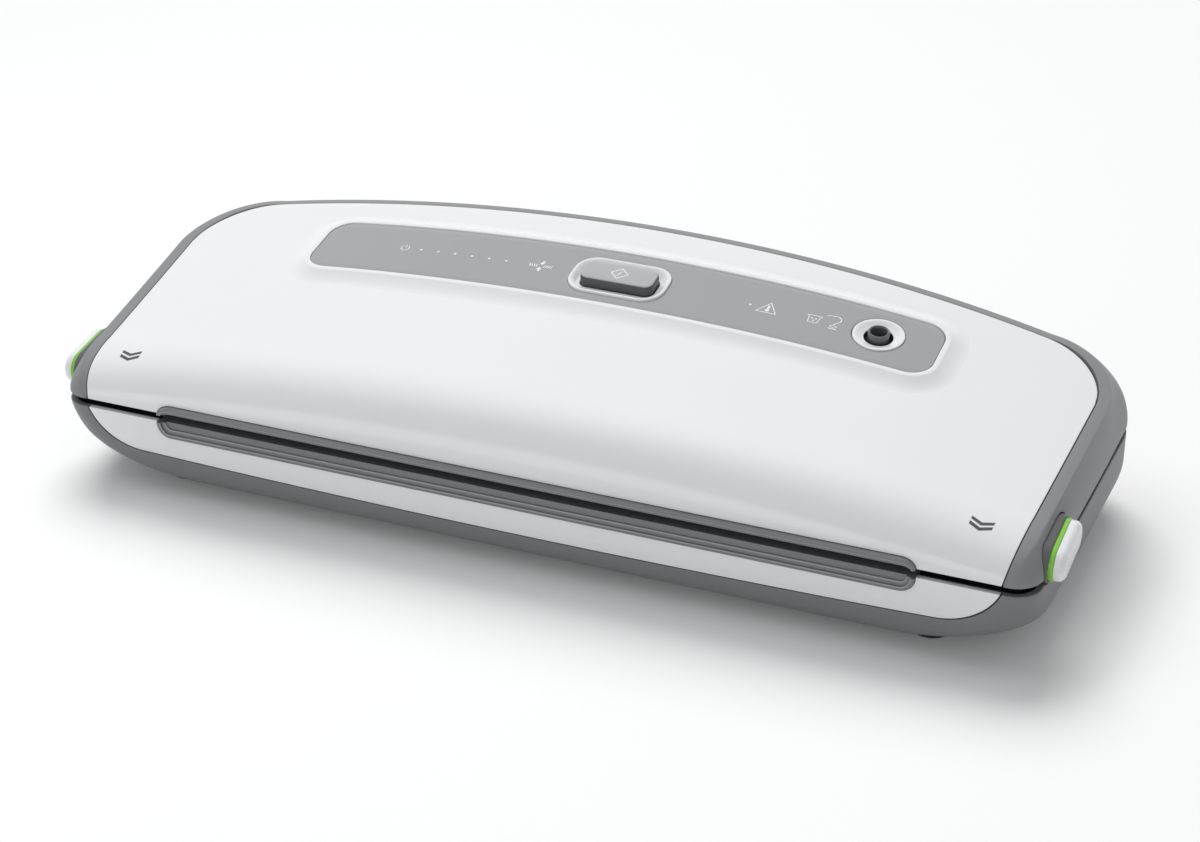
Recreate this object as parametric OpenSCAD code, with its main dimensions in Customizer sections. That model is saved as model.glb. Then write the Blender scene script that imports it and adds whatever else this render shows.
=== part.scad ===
// Low vacuum sealer with a lid that swings up at the back, drawn closed.
// Y runs from the bag slot at the front to the hinge at the back, Z is up.

/* [Body] */
// Width across the side walls at the split
body_w = 393.2; // [380:0.2:410]
// Depth from the slot lips to the back wall
body_d = 154; // [150:0.5:162]
// Height of the base's rim above the surface it stands on
rim_z = 34.4; // [33:0.1:37]
// Gap between the base's rim and the lid's lower edge
split_gap = 3.4; // [3.2:0.1:4]
// Wall of the base tray and the lid frame
wall = 2.4; // [2:0.1:2.8]
// Clearance between fixed pieces
fit_gap = 0.3; // [0.2:0.05:0.4]

/* [Lid top] */
// Height of the lid's crown near its back edge
crown_z = 81.2; // [78:0.2:86]
// How much lower the lid's top is at its ends
arch_drop = 13.5; // [10:0.5:16]
// Rise of the lid's top per unit of depth
top_rise = 0.164; // [0.15:0.002:0.18]
// Thickness of the white cover
cover_t = 2.2; // [1.8:0.1:2.6]
// How far the cover's front end is in from the side wall
cover_side = 11.6; // [9.6:0.2:14.6]
// Width of the frame's sloping top band
band_w = 3.8; // [3:0.1:4.5]
// Height that the frame's sloping top band falls by
band_drop = 1.6; // [1:0.1:2.4]
// Corner radius of the cover's back edge
cover_r = 26; // [20:1:30]
// How much the cover's back edge bows backwards
back_bow = 11.6; // [8:0.2:13]
// Distance from the cover's back edge to the back wall
back_margin = 12.8; // [12:0.2:16]

/* [Base] */
// Radius of the tray's lower edge
lower_r = 16; // [12:0.5:18]
// Height that the lower edge is rounded over
lower_h = 20; // [16:0.5:22]
// Plan radius of the front corners at the rim
front_r = 10.5; // [9:0.5:12]
// Plan radius of the back corners at the rim
back_r = 22; // [18:0.5:26]
// Height of the feet below the tray
foot_h = 3; // [2:0.1:4]
// Radius of a foot
foot_r = 8; // [6:0.5:10]
// Height of the front trim's lower edge in the middle
trim_z = 17.3; // [16:0.1:19]

/* [Bag slot] */
// Half length of the slot lips
slot_w = 152; // [145:0.5:154]
// Height of each lip
lip_h = 5.2; // [4.5:0.1:6]
// Opening between the lips
slit_h = 3.3; // [2.8:0.1:3.6]
// Half length of the vacuum channel
channel_w = 150; // [140:0.5:156]
// Depth of the vacuum channel from front to back
channel_d = 26; // [20:0.5:30]
// How deep the vacuum channel is
channel_h = 17; // [12:0.5:19]
// Width of the gaskets
gasket_w = 5; // [4:0.1:6]
// Width of the heating strip
strip_w = 3; // [2:0.1:4]

/* [Panel] */
// Half length of the control panel
panel_w = 129.7; // [125:0.1:134]
// Depth of the panel in the middle
panel_d = 34.5; // [32:0.5:37]
// Distance from the panel's back edge to the back wall
panel_margin = 35; // [32:0.5:38]
// Height of the raised pad round the panel
pad_h = 2.4; // [1.8:0.1:3]
// Length of the start button
button_l = 27.4; // [24:0.2:30]
// Depth of the start button
button_d = 11.4; // [10:0.2:13]
// Travel of the start button
button_travel = 1.2; // [0.8:0.1:1.4]
// Where the accessory port is along the panel
port_x = 105.5; // [100:0.5:110]
// Radius of the port nozzle
nozzle_r = 4.25; // [4:0.05:4.6]
// Radius of the port's bore
port_bore_r = 3.2; // [2.6:0.05:3.3]

/* [Latches] */
// Where the release buttons are along the sides
release_y = 31.5; // [30:0.5:34]
// Length of a release button
release_l = 36.5; // [32:0.5:40]
// Height of a release button
release_h = 12; // [11:0.5:14]
// How far a release button stands out of the side
release_out = 5; // [4:0.1:6]
// Travel of a release button
release_travel = 3; // [2.5:0.1:3.2]
// Radius of the latch and hinge pins
pin_r = 1.5; // [1.2:0.05:1.8]
// Distance from the hinge axis to the back wall
hinge_in = 4.5; // [4.3:0.05:4.6]
// Where the hinges are to each side
hinge_x = 120; // [110:1:130]
// Running clearance on the pins
run_gap = 0.06; // [0.04:0.01:0.08]

/* [Pump and power] */
// Radius of the motor can
motor_r = 12; // [10:0.5:12.5]
// Length of the motor can
motor_l = 34; // [28:0.5:38]
// Diameter of the cord inlet
inlet_d = 9; // [7:0.2:10]
// Thickness of the circuit boards
board_t = 1.6; // [1:0.1:2]

/* [Hidden] */
$fn = 40;

side_x = body_w / 2;
side_x0 = side_x - 1.4;            // half width just behind the front corners
face_y = 1.2;                      // front face of cover and trim
lid_z = rim_z + split_gap;
base_z = foot_h;
cover_w0 = side_x - cover_side;    // half width of the cover at its front end
cover_x1 = side_x - 6.6;           // half width of the cover at its back corners
corner_x0 = cover_x1 - cover_r;
top_y = body_d - 24;               // where the crown height is measured
arch_mix = 0.135;                  // share of the arch that is steeper at the ends
top_sag = 0.000115;
shoulder_y = 24;                   // where the front shoulder runs into the top
corner_v = 0.78;                   // share of the shoulder beside the front corner
seam_gap = 0.6;                    // groove between cover and frame
slit_z = rim_z + split_gap / 2 - 0.45;
lip_depth = 9;
lip_r = 6;
deck_z = rim_z - 1.4;
deck_t = 2.2;
tray_t = 1.4;
tray_rim = 0.9;
deck_w = side_x0 - wall - fit_gap;
deck_back = body_d - wall - fit_gap;
pan_z = lid_z + 0.2;
pan_t = 2.2;
pan_top = pan_z + pan_t;
pan_w = side_x0 - wall - 2.4;
pan_back = body_d - wall - 1.5;
gasket_y0 = 27;
gasket_pad = 3;                    // between a gasket and the channel
gasket_hw = channel_w + gasket_pad + gasket_w;
channel_y0 = gasket_y0 + gasket_w + gasket_pad;
vac_at = [20, channel_y0 + channel_d / 2];
bar_y = 18;                        // middle of the heating bar
bar_w = slot_w + 8;
bar_top = rim_z + 0.1;
panel_y1 = body_d - panel_margin;
panel_y0 = panel_y1 - panel_d;
panel_y = panel_y0 + panel_d / 2 - 0.8;
hinge_y = body_d - hinge_in;
hinge_z = lid_z + 2;
knuckle_r = 3.2;
knuckle_l = 12;
ear_l = 5;
release_z = lid_z + 3.8;
release_tilt = 7;
cap_x0 = side_x + 1;               // inner face of a button cap
cap_x1 = side_x + release_out;
housing_t = 1.2;
slide_x0 = side_x - 5.4;           // inner face of a release slide at rest
housing_x0 = slide_x0 - release_travel - fit_gap - housing_t;
arm_x = side_x - 15.4;             // outer face of a latch arm
arm_t = 2.5;
latch_z = 14;
push_z = 28.6;
housing_foot = 22;
nose_z0 = pan_top + 0.3;
nose_z1 = nose_z0 + 2.2;
pump_y = body_d - 88;
pump_z = pan_top + 2.8 + motor_r;
board_z = crown_z - 14.8;

// ---- general shapes ----

function sq(v) = v * v;

function unit(v) = v / norm(v);

// Triangles between two neighbouring points of two neighbouring rows
function quad(a, b, c, d) = [[a, b, c], [a, c, d]];

function joined(lists) = [for (l = lists) for (item = l) item];

// A thin shell between an outer and an inner grid of points
module shell_of(outer, inner) {
    n = len(outer);
    m = len(outer[0]);
    function o(i, j) = i * m + j;
    function k(i, j) = n * m + i * m + j;
    skins = [for (i = [0:n - 2], j = [0:m - 2]) concat(
        quad(o(i, j), o(i, j + 1), o(i + 1, j + 1), o(i + 1, j)),
        quad(k(i, j), k(i + 1, j), k(i + 1, j + 1), k(i, j + 1)))];
    long_edges = [for (i = [0:n - 2]) concat(
        quad(o(i, 0), o(i + 1, 0), k(i + 1, 0), k(i, 0)),
        quad(o(i, m - 1), k(i, m - 1), k(i + 1, m - 1), o(i + 1, m - 1)))];
    ends = [for (j = [0:m - 2]) concat(
        quad(o(0, j), k(0, j), k(0, j + 1), o(0, j + 1)),
        quad(o(n - 1, j), o(n - 1, j + 1), k(n - 1, j + 1), k(n - 1, j)))];
    polyhedron(concat(joined(outer), joined(inner)),
        concat(joined(skins), joined(long_edges), joined(ends)), convexity = 8);
}

// A closed stack of rings, with flat first and last rings
module stack_of(rings) {
    n = len(rings);
    m = len(rings[0]);
    function o(i, j) = i * m + (j % m);
    sides = [for (i = [0:n - 2], j = [0:m - 1])
        quad(o(i, j), o(i + 1, j), o(i + 1, j + 1), o(i, j + 1))];
    first = [[for (j = [0:m - 1]) o(0, j)]];
    last = [[for (j = [0:m - 1]) o(n - 1, m - 1 - j)]];
    polyhedron(joined(rings), concat(joined(sides), first, last), convexity = 8);
}

// A round tube or wire swept along points, with a preferred sideways direction
module swept(path, r, sides, side_dir) {
    last = len(path) - 1;
    rings = [for (i = [0:last])
        let (t = unit(path[min(i + 1, last)] - path[max(i - 1, 0)]),
            a = unit(cross(t, side_dir)),
            b = cross(t, a))
        [for (j = [0:sides - 1]) path[i] + r * (cos(360 * j / sides) * a
            + sin(360 * j / sides) * b)]];
    stack_of(rings);
}

// Extrusions of an outline drawn in X and Z, or in Y and Z
module along_y(y0, y1) {
    translate([0, y1, 0]) rotate([90, 0, 0]) linear_extrude(y1 - y0) children();
}

module along_x(x0, x1) {
    translate([x0, 0, 0]) rotate([90, 0, 90]) linear_extrude(x1 - x0) children();
}

module box(x0, x1, y0, y1, z0, z1) {
    translate([x0, y0, z0]) cube([x1 - x0, y1 - y0, z1 - z0]);
}

module post(x, y, z0, z1, r) {
    translate([x, y, z0]) cylinder(r = r, h = z1 - z0);
}

// Rectangle with true round corners, centred
module pad_2d(w, h, r) {
    square([w, h - 2 * r], center = true);
    square([w - 2 * r, h], center = true);
    for (x = [-1, 1], y = [-1, 1])
        translate([x * (w / 2 - r), y * (h / 2 - r)]) circle(r = r);
}

// Plan of a plate with different front and back corners
module plan_2d(hw, y0, y1, rf, rb) {
    translate([-hw, y0 + rf]) square([2 * hw, y1 - rb - y0 - rf]);
    translate([rf - hw, y0]) square([2 * (hw - rf), rf + 1]);
    translate([rb - hw, y1 - rb - 1]) square([2 * (hw - rb), rb + 1]);
    for (s = [-1, 1]) {
        translate([s * (hw - rf), y0 + rf]) circle(r = rf);
        translate([s * (hw - rb), y1 - rb]) circle(r = rb);
    }
}

// Everything is laid out from the front face, then centred over the origin
module placed() {
    translate([0, -body_d / 2, 0]) children();
}

module left_side() {
    mirror([1, 0, 0]) children();
}

// ---- form of the lid ----

function arch(x) = arch_drop * ((1 - arch_mix) * sq(x / cover_x1)
    + arch_mix * pow(x / cover_x1, 4));

function top_z(x, y) = crown_z - arch(x) + top_rise * (y - top_y) + top_sag * sq(y - top_y);

function slope_y(y) = top_rise + 2 * top_sag * (y - top_y);

function slope_x(x) = arch_drop * (-2 * (1 - arch_mix) * x / sq(cover_x1)
    - 4 * arch_mix * pow(x, 3) / pow(cover_x1, 4));

function back_y(x) = let (a = abs(x))
    body_d - back_margin - back_bow * sq(a / corner_x0)
    - (a <= corner_x0 ? 0 : cover_r - sqrt(max(0, sq(cover_r) - sq(a - corner_x0))));

side_y = back_y(cover_x1);

function cover_hw(y) = cover_w0 + (cover_x1 - cover_w0) * min(1, y / side_y);

// Front shoulder as a curve of depth and height, t from 0 at the lower edge to 1
function shoulder_ctl(x) = let (h = top_z(x, 8) - lid_z, z1 = top_z(x, shoulder_y))
    [[face_y, lid_z], [face_y + 0.13 * h, lid_z + 0.62 * h],
     [shoulder_y - 16, z1 - 16 * slope_y(shoulder_y)], [shoulder_y, z1]];

function bezier(p, t) = pow(1 - t, 3) * p[0] + 3 * t * sq(1 - t) * p[1]
    + 3 * sq(t) * (1 - t) * p[2] + pow(t, 3) * p[3];

function bezier_dir(p, t) = unit(sq(1 - t) * (p[1] - p[0]) + 2 * t * (1 - t) * (p[2] - p[1])
    + sq(t) * (p[3] - p[2]));

// Point of the cover's outside, u across from -1 to 1, v 0 to 1 up the shoulder, to 2 at the back
function cover_pt(u, v) = v <= 1
    ? let (p = bezier(shoulder_ctl(u * cover_w0), v))
        [u * (cover_hw(p[0]) - 2.4 * sq(1 - v)), p[0], p[1]]
    : let (y = shoulder_y + (back_y(u * cover_x1) - shoulder_y) * (v - 1), x = u * cover_hw(y))
        [x, y, top_z(x, y)];

// Direction into the lid, square to the profile
function cover_in(u, v) = let (d = v <= 1 ? bezier_dir(shoulder_ctl(u * cover_w0), v)
    : unit([1, slope_y(cover_pt(u, v)[1])])) [0, d[1], -d[0]];

function above(p, z) = [p[0], p[1], max(p[2], z)];

cover_u = let (h = [0.14, 0.28, 0.42, 0.55, 0.67, 0.77, 0.85, 0.9, 0.935, 0.96, 0.98, 0.993, 1])
    concat([for (i = [len(h) - 1:-1:0]) -h[i]], [0], h);
shoulder_v = [0.2, 0.35, 0.5, 0.65, corner_v, 0.9, 1, 1.25, 1.5, 1.75, 2];
cover_v = concat([0, 0.1], shoulder_v);

module cover_skin() {
    outer = [for (u = cover_u) [for (v = cover_v) cover_pt(u, v)]];
    inner = [for (u = cover_u) [for (v = cover_v)
        above(cover_pt(u, v) + cover_t * cover_in(u, v), lid_z)]];
    shell_of(outer, inner);
}

// ---- panel pad on the cover ----

function panel_front(x) = panel_y0 - 1.8 * sq(x / panel_w);
function panel_back(x) = panel_y1 - 4 * sq(x / panel_w);
panel_r = 9;

// Outline of the panel grown by g: s runs from -1 to 1, side is 0 at the front and 1 at the back
function panel_pt(s, side, g) = let (
        x = s * (panel_w + g),
        r = panel_r + g,
        over = max(0, abs(x) - (panel_w + g - r)),
        cut = r - sqrt(max(0, sq(r) - sq(over))))
    [x, side == 0 ? panel_front(x) - g + cut : panel_back(x) + g - cut];

panel_s = let (h = [0.2, 0.4, 0.6, 0.75, 0.86, 0.93, 0.955, 0.975, 0.99, 1])
    concat([for (i = [len(h) - 1:-1:0]) -h[i]], [0], h);

function raised(p, dz) = [p[0], p[1], top_z(p[0], p[1]) + dz];

// ---- frame round the lid's sides and back ----

function side_at(y) = side_x0 + (side_x - side_x0) * min(1, max(0, (y - front_r) / 90));

lower_cy = face_y - 0.3 + front_r;
corner_v_y = cover_pt(1, corner_v)[1];
corner_run = [body_d - back_r - side_y, back_r * PI / 2, side_x - back_r - corner_x0];

// A station is [kind, place]: 0 up the side seam, 1 round the back corner, 2 along the back
function seam_pt(s) = s[0] == 0 ? cover_pt(1, s[1])
    : let (x = s[0] == 1 ? corner_x0 + cover_r * cos(90 * s[1]) : corner_x0 * (1 - s[1]),
        y = s[0] == 1 && s[1] == 0 ? side_y : back_y(x)) [x, y, top_z(x, y)];

function seam_in(s) = s[0] == 0 ? cover_in(1, s[1])
    : let (d = unit([1, slope_y(seam_pt(s)[1])])) [0, d[1], -d[0]];

function seam_out(s) = s[0] == 0 ? [1, 0, 0]
    : s[0] == 1 ? [cos(82 * s[1]), sin(82 * s[1]), 0]
    : unit([2 * back_bow * seam_pt(s)[0] / sq(corner_x0), 1, 0]);

// Lower edge of the frame at a station, with its outward direction
function lower_pt(s) = s[0] == 0
    ? (s[1] < corner_v
        ? let (a = -100 + 100 * s[1] / corner_v)
            [[side_x0 - front_r + front_r * cos(a), lower_cy + front_r * sin(a), lid_z],
             [cos(a), sin(a), 0]]
        : let (y = lower_cy + (seam_pt(s)[1] - corner_v_y) * (side_y - lower_cy)
                / (side_y - corner_v_y))
            [[side_at(y), y, lid_z], [1, 0, 0]])
    : s[0] == 2 ? [[seam_pt(s)[0], body_d, lid_z], [0, 1, 0]]
    : let (d = s[1] * (corner_run[0] + corner_run[1] + corner_run[2]))
        d < corner_run[0] ? [[side_x, side_y + d, lid_z], [1, 0, 0]]
        : d < corner_run[0] + corner_run[1]
        ? let (a = (d - corner_run[0]) / back_r * 180 / PI)
            [[side_x - back_r + back_r * cos(a), body_d - back_r + back_r * sin(a), lid_z],
             [cos(a), sin(a), 0]]
        : [[side_x - back_r - (d - corner_run[0] - corner_run[1]), body_d, lid_z], [0, 1, 0]];

function band_share(s) = s[0] == 0 && s[1] < corner_v ? 0.25 + 0.75 * s[1] / corner_v : 1;

function ridge_pt(s) = let (p = seam_pt(s) + (band_w * band_share(s)) * seam_out(s))
    above([p[0], p[1], p[2] - band_drop * band_share(s)], lid_z + 0.3);

// Curve of the side wall from the ridge, t = 0, down to the lower edge, t = 1
function wall_pt(s, t) = let (r = ridge_pt(s), l = lower_pt(s)[0],
        c = [l[0], l[1], lid_z + 0.45 * (r[2] - lid_z)])
    sq(1 - t) * r + 2 * t * (1 - t) * c + sq(t) * l;

function frame_outer(s) = [seam_pt(s) + seam_gap * seam_out(s), ridge_pt(s), wall_pt(s, 0.2),
    wall_pt(s, 0.5), wall_pt(s, 0.8), lower_pt(s)[0]];

function frame_inner(s) = let (n = lower_pt(s)[1], m = seam_in(s), o = seam_out(s),
        ledge = seam_pt(s) + (cover_t + fit_gap) * m,
        tip = ledge - 3.4 * o - [0, 0, 3.4 * slope_y(seam_pt(s)[1]) * o[1]])
    [above(ledge + seam_gap * o, lid_z + 0.8), above(tip, lid_z + 0.8),
     above(tip + 1.8 * m, lid_z + 0.3), wall_pt(s, 0.5) - wall * n,
     wall_pt(s, 0.8) - wall * n, lower_pt(s)[0] - wall * n];

function flipped(p) = [-p[0], p[1], p[2]];

frame_stations = concat([for (v = shoulder_v) [0, v]],
    [for (i = [1:8]) [1, i / 8]], [for (i = [1:5]) [2, i / 5]]);

function both_sides(rows) = concat(rows, [for (i = [len(rows) - 2:-1:0])
    [for (p = rows[i]) flipped(p)]]);

module frame_skin() {
    shell_of(both_sides([for (s = frame_stations) frame_inner(s)]),
        both_sides([for (s = frame_stations) frame_outer(s)]));
}

// ---- form of the base ----

// One level of the tray: angle a round the lower edge, height z0 where a is 0, inner 0 or 1
function tray_ring(a, z0, inner) = let (
        z = a == 0 ? z0 : base_z + lower_h * (1 - sin(a)),
        e = inner * wall * cos(a),
        i = lower_r * (1 - cos(a)) + e,
        rf = front_r + 40 * pow((rim_z - z) / (rim_z - base_z), 1.5) - e,
        rb = back_r + 8 * (1 - cos(a)) - e,
        zz = z + inner * wall * sin(a),
        right = concat(
            [for (k = [0:5]) let (q = -90 + 18 * k)
                [side_x0 - i - rf + rf * cos(q), face_y - 0.3 + i + rf + rf * sin(q), zz]],
            [for (k = [0:5]) let (q = 18 * k)
                [side_x - i - rb + rb * cos(q), body_d - i - rb + rb * sin(q), zz]]))
    concat(right, [for (k = [len(right) - 1:-1:0]) flipped(right[k])]);

tray_levels = [[90, 0], [72, 0], [54, 0], [36, 0], [18, 0], [0, base_z + lower_h],
    [0, base_z + lower_h + 6], [0, rim_z]];

module tray() {
    outer = [for (l = tray_levels) tray_ring(l[0], l[1], 0)];
    inner = [for (i = [len(tray_levels) - 1:-1:0])
        tray_ring(tray_levels[i][0], tray_levels[i][1], 1)];
    stack_of(concat(outer, inner));
}

// Outline of the front trim in X and Z
trim_cx = body_w / 2 - 38.6;
function trim_edge(x) = let (a = abs(x))
    a < trim_cx ? trim_z + 2.5 * sq(x / trim_cx)
    : trim_z + 24.7 - 22.2 * sqrt(max(0, 1 - sq((a - trim_cx) / 26)));

module trim_2d(shrink) {
    xs = [0, 60, 110, trim_cx, trim_cx + 5, trim_cx + 10, trim_cx + 14, trim_cx + 18,
        trim_cx + 21, trim_cx + 23.2, trim_cx + 24.6];
    right = [for (x = xs) [x - shrink * x / side_x, trim_edge(x) + shrink]];
    left = [for (i = [len(xs) - 1:-1:1]) [-right[i][0], right[i][1]]];
    polygon(concat(right, [[trim_cx + 24.8 - shrink, rim_z + 1]],
        [[-trim_cx - 24.8 + shrink, rim_z + 1]], left));
}

// A closed stack of loops, each a front run and a back run, capped across from front to back
module ladder_of(rings) {
    n = len(rings);
    m = len(rings[0]);
    function o(i, j) = i * m + (j % m);
    sides = [for (i = [0:n - 2], j = [0:m - 1])
        quad(o(i, j), o(i + 1, j), o(i + 1, j + 1), o(i, j + 1))];
    caps = [for (j = [0:m / 2 - 2]) concat(
        quad(o(0, j), o(0, j + 1), o(0, m - 2 - j), o(0, m - 1 - j)),
        quad(o(n - 1, j + 1), o(n - 1, j), o(n - 1, m - 1 - j), o(n - 1, m - 2 - j)))];
    polyhedron(joined(rings), concat(joined(sides), joined(caps)), convexity = 8);
}

function panel_loop(g, dz) = concat([for (s = panel_s) raised(panel_pt(s, 0, g), dz)],
    [for (i = [len(panel_s) - 1:-1:0]) raised(panel_pt(panel_s[i], 1, g), dz)]);

// Frame of reference on the lid's surface, square to it
module on_surface(x, y) {
    translate([x, y, top_z(x, y)])
        rotate([atan(slope_y(y)), -atan(slope_x(x)), 0]) children();
}

// Upright prism with its top, and its bottom if dz0 is given, parallel to the panel
module panel_prism(dz0, dz1) {
    intersection() {
        translate([0, panel_y, crown_z - 40]) linear_extrude(60) children();
        on_surface(0, panel_y) translate([-40, -40, dz0]) cube([80, 80, dz1 - dz0]);
    }
}

module ring_2d(w, h, r, t) {
    difference() {
        pad_2d(w, h, r);
        pad_2d(w - 2 * t, h - 2 * t, r - t);
    }
}

// Outline of the release button in Y and Z
module pill_2d(grow) {
    translate([release_y, release_z]) rotate(release_tilt) {
        square([release_l - release_h, release_h + 2 * grow], center = true);
        for (s = [-1, 1])
            translate([s * (release_l - release_h) / 2, 0]) circle(r = release_h / 2 + grow);
    }
}

// ---- base ----

screw_x = side_x - 26;
base_screw_at = [for (s = [-1, 1], p = [[screw_x, body_d - 80], [screw_x, body_d - 32],
    [84, body_d - 18]]) [s * p[0], p[1]]];
base_seat = 24;
lid_screw_at = [for (s = [-1, 1], p = [[side_x - 28.6, 20], [side_x - 46.6, body_d - 42],
    [52, body_d - 24]]) [s * p[0], p[1]]];
lid_seat = lid_z + 8.2;
board_y = body_d - 47;             // middle of the power board
board_hole = [64, 23];
stand_z = base_z + 6;              // top of the stands for the power board
inlet_x = 46.6 - side_x;
inlet_z = base_z + 21.4;

module base_features() {
    z = base_z + 0.8;
    // wall behind the trim
    intersection() {
        along_y(3.2, 5.2) trim_2d(-2);
        box(-side_x, side_x, 0, 10, 0, rim_z - 0.6);
    }
    for (p = base_screw_at) post(p[0], p[1], z, base_seat, 4.5);
    // stands for the heating bar
    for (x = [-120, -40, 40, 120]) post(x, bar_y, z, 24, 3.6);
    // stands for the power board
    for (x = [-1, 1], y = [-1, 1])
        post(x * board_hole[0], board_y + y * board_hole[1], z, stand_z, 3.2);
    for (s = [0, 1]) mirror([s, 0, 0]) {
        // ears for the latch and ledge for the button housing
        for (y = [release_y - 7, release_y + 4.5]) along_y(y, y + 2.5) polygon([
            [arm_x - 24, base_z + 2.2], [arm_x - 11, base_z + 2.2], [arm_x + 3.4, latch_z - 3],
            [arm_x + 3.4, latch_z + 4], [arm_x - 6, latch_z + 4], [arm_x - 17, latch_z - 5]]);
        box(side_x - 9, side_x - 3.8, release_y - 5.5, release_y + 8, 15, housing_foot);
    }
    // collar round the cord hole
    translate([inlet_x, body_d - 0.8, inlet_z]) rotate([90, 0, 0]) cylinder(r = 6, h = 7.2);
}

module hinge_stand(x) {
    box(x - knuckle_l / 2, x + knuckle_l / 2, hinge_y - 3, body_d - 1.2, 22, hinge_z);
    along_x(x - knuckle_l / 2, x + knuckle_l / 2) translate([hinge_y, hinge_z])
        circle(r = knuckle_r);
}

module base_shell() {
    color("Gray") placed() difference() {
        union() {
            tray();
            base_features();
            for (s = [-1, 1]) hinge_stand(s * hinge_x);
        }
        // recess for the trim and pocket for the lower lip
        along_y(-1, 3.6) trim_2d(-fit_gap);
        box(-slot_w - 0.3, slot_w + 0.3, -1, lip_depth + 0.3, slit_z - slit_h / 2 - lip_h - 1.1,
            rim_z + 1);
        // pockets for the button housings
        for (s = [0, 1]) mirror([s, 0, 0]) along_x(side_x - 10.5, side_x + 4) pill_2d(2.0);
        for (x = [-hinge_x, hinge_x]) along_x(x - 8, x + 8)
            translate([hinge_y, hinge_z]) circle(r = pin_r);
        for (p = base_screw_at) {
            post(p[0], p[1], 0, base_seat + 1, 1.8);
            post(p[0], p[1], 0, 12, 3.4);
        }
        for (s = [-1, 1]) translate([s * (arm_x - arm_t / 2), release_y - 8, latch_z])
            rotate([-90, 0, 0]) cylinder(r = pin_r, h = 16);
        translate([inlet_x, body_d + 1, inlet_z]) rotate([90, 0, 0])
            cylinder(r = inlet_d / 2, h = 12);
    }
}

module front_trim() {
    color("White") placed() difference() {
        intersection() {
            along_y(face_y - 0.3, 3.3) trim_2d(0);
            box(-side_x, side_x, 0, 10, 0, rim_z);
        }
        box(-slot_w - 0.3, slot_w + 0.3, -1, lip_depth, slit_z - slit_h / 2 - lip_h - 1.1,
            rim_z + 1);
    }
}

// Side view of a slot lip, standing away from the slit in three steps
module lip_2d(t) {
    polygon([[lip_depth, 0], [lip_depth, t], [0, t], [0, t * 0.62], [1.2, t * 0.58],
        [1.2, t * 0.32], [2.4, t * 0.28], [2.4, 0]]);
}

module lip(t) {
    intersection() {
        along_x(-slot_w, slot_w) lip_2d(t);
        along_y(-1, lip_depth + 1) {
            translate([-slot_w, -1]) square([2 * slot_w, t + 1 - lip_r]);
            translate([lip_r - slot_w, -1]) square([2 * (slot_w - lip_r), t + 1]);
            for (s = [-1, 1]) translate([s * (slot_w - lip_r), t - lip_r]) circle(r = lip_r);
        }
    }
}

module lower_slot_lip() {
    color("DimGray") placed() translate([0, 0, slit_z - slit_h / 2]) mirror([0, 0, 1])
        lip(lip_h + 0.8);
}

module upper_slot_lip() {
    color("DimGray") placed() translate([0, 0, slit_z + slit_h / 2]) lip(lip_h);
}

// Box round the vacuum channel, grown by g to the sides
module channel_box(g, z0, z1) {
    box(-channel_w - g, channel_w + g, channel_y0 - g, channel_y0 + channel_d + g, z0, z1);
}

module drip_tray() {
    color([0.3, 0.31, 0.33]) placed() difference() {
        union() {
            channel_box(tray_t + tray_rim, deck_z - tray_rim, deck_z);
            channel_box(tray_t, deck_z - channel_h - tray_t, deck_z - tray_rim);
        }
        channel_box(0, deck_z - channel_h, deck_z + 1);
    }
}

module base_deck() {
    color("DimGray") placed() difference() {
        union() {
            translate([0, 0, deck_z - deck_t]) linear_extrude(deck_t)
                plan_2d(deck_w, 5.5, deck_back, 12, back_r - 2);
            for (p = base_screw_at) post(p[0], p[1], base_seat, deck_z - 1, 4.2);
        }
        channel_box(tray_t + 0.05, 20, 50);
        channel_box(tray_t + tray_rim + 0.05, deck_z - tray_rim, 50);
        box(-slot_w - 0.3, slot_w + 0.3, 0, lip_depth + 0.3, 0, 50);
        box(-bar_w - 0.3, bar_w + 0.3, bar_y - 4.3, bar_y + 4.3, 20, 50);
        for (p = base_screw_at) post(p[0], p[1], base_seat - 1, deck_z - 1.2, 1.56);
        for (s = [-1, 1]) scale([s, 1, 1]) {
            box(arm_x - 6.6, arm_x + 0.6, release_y - 5, release_y + 4.5, 20, 50);
            box(side_x - 10.2, side_x, release_y - 22, release_y + 12, 20, 50);
        }
        for (x = [-hinge_x, hinge_x])
            box(x - knuckle_l / 2 - 0.3, x + knuckle_l / 2 + 0.3, hinge_y - 3.4, body_d, 20, 50);
        for (x = [-hinge_x, hinge_x])
            box(x - knuckle_l - 1, x + knuckle_l + 1, hinge_y - 4, body_d, deck_z - 0.4, 50);
    }
}

module gasket(z0, z1) {
    color([0.12, 0.12, 0.13]) placed()
        translate([0, vac_at[1], z0])
            linear_extrude(z1 - z0) ring_2d(2 * gasket_hw, channel_d + 2 * (gasket_pad
                + gasket_w), 9, gasket_w);
}

module lower_gasket() {
    gasket(deck_z, rim_z + 1);
}

module upper_gasket() {
    gasket(rim_z + 1.3, pan_z + 1);
}

module seal_bar_carrier() {
    color([0.2, 0.2, 0.21]) placed() difference() {
        box(-bar_w, bar_w, bar_y - 4, bar_y + 4, 24, bar_top);
        box(-bar_w - 1, bar_w + 1, bar_y - strip_w / 2 - 0.1, bar_y + strip_w / 2 + 0.1,
            bar_top - 0.2, bar_top + 1);
    }
}

module heating_strip() {
    color("Silver") placed() box(-bar_w + 2, bar_w - 2, bar_y - strip_w / 2,
        bar_y + strip_w / 2, bar_top - 0.2, bar_top);
}

module ptfe_tape() {
    color([0.72, 0.66, 0.5]) placed() box(-bar_w + 1, bar_w - 1, bar_y - 3.9, bar_y + 3.9,
        bar_top, bar_top + 0.3);
}

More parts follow.
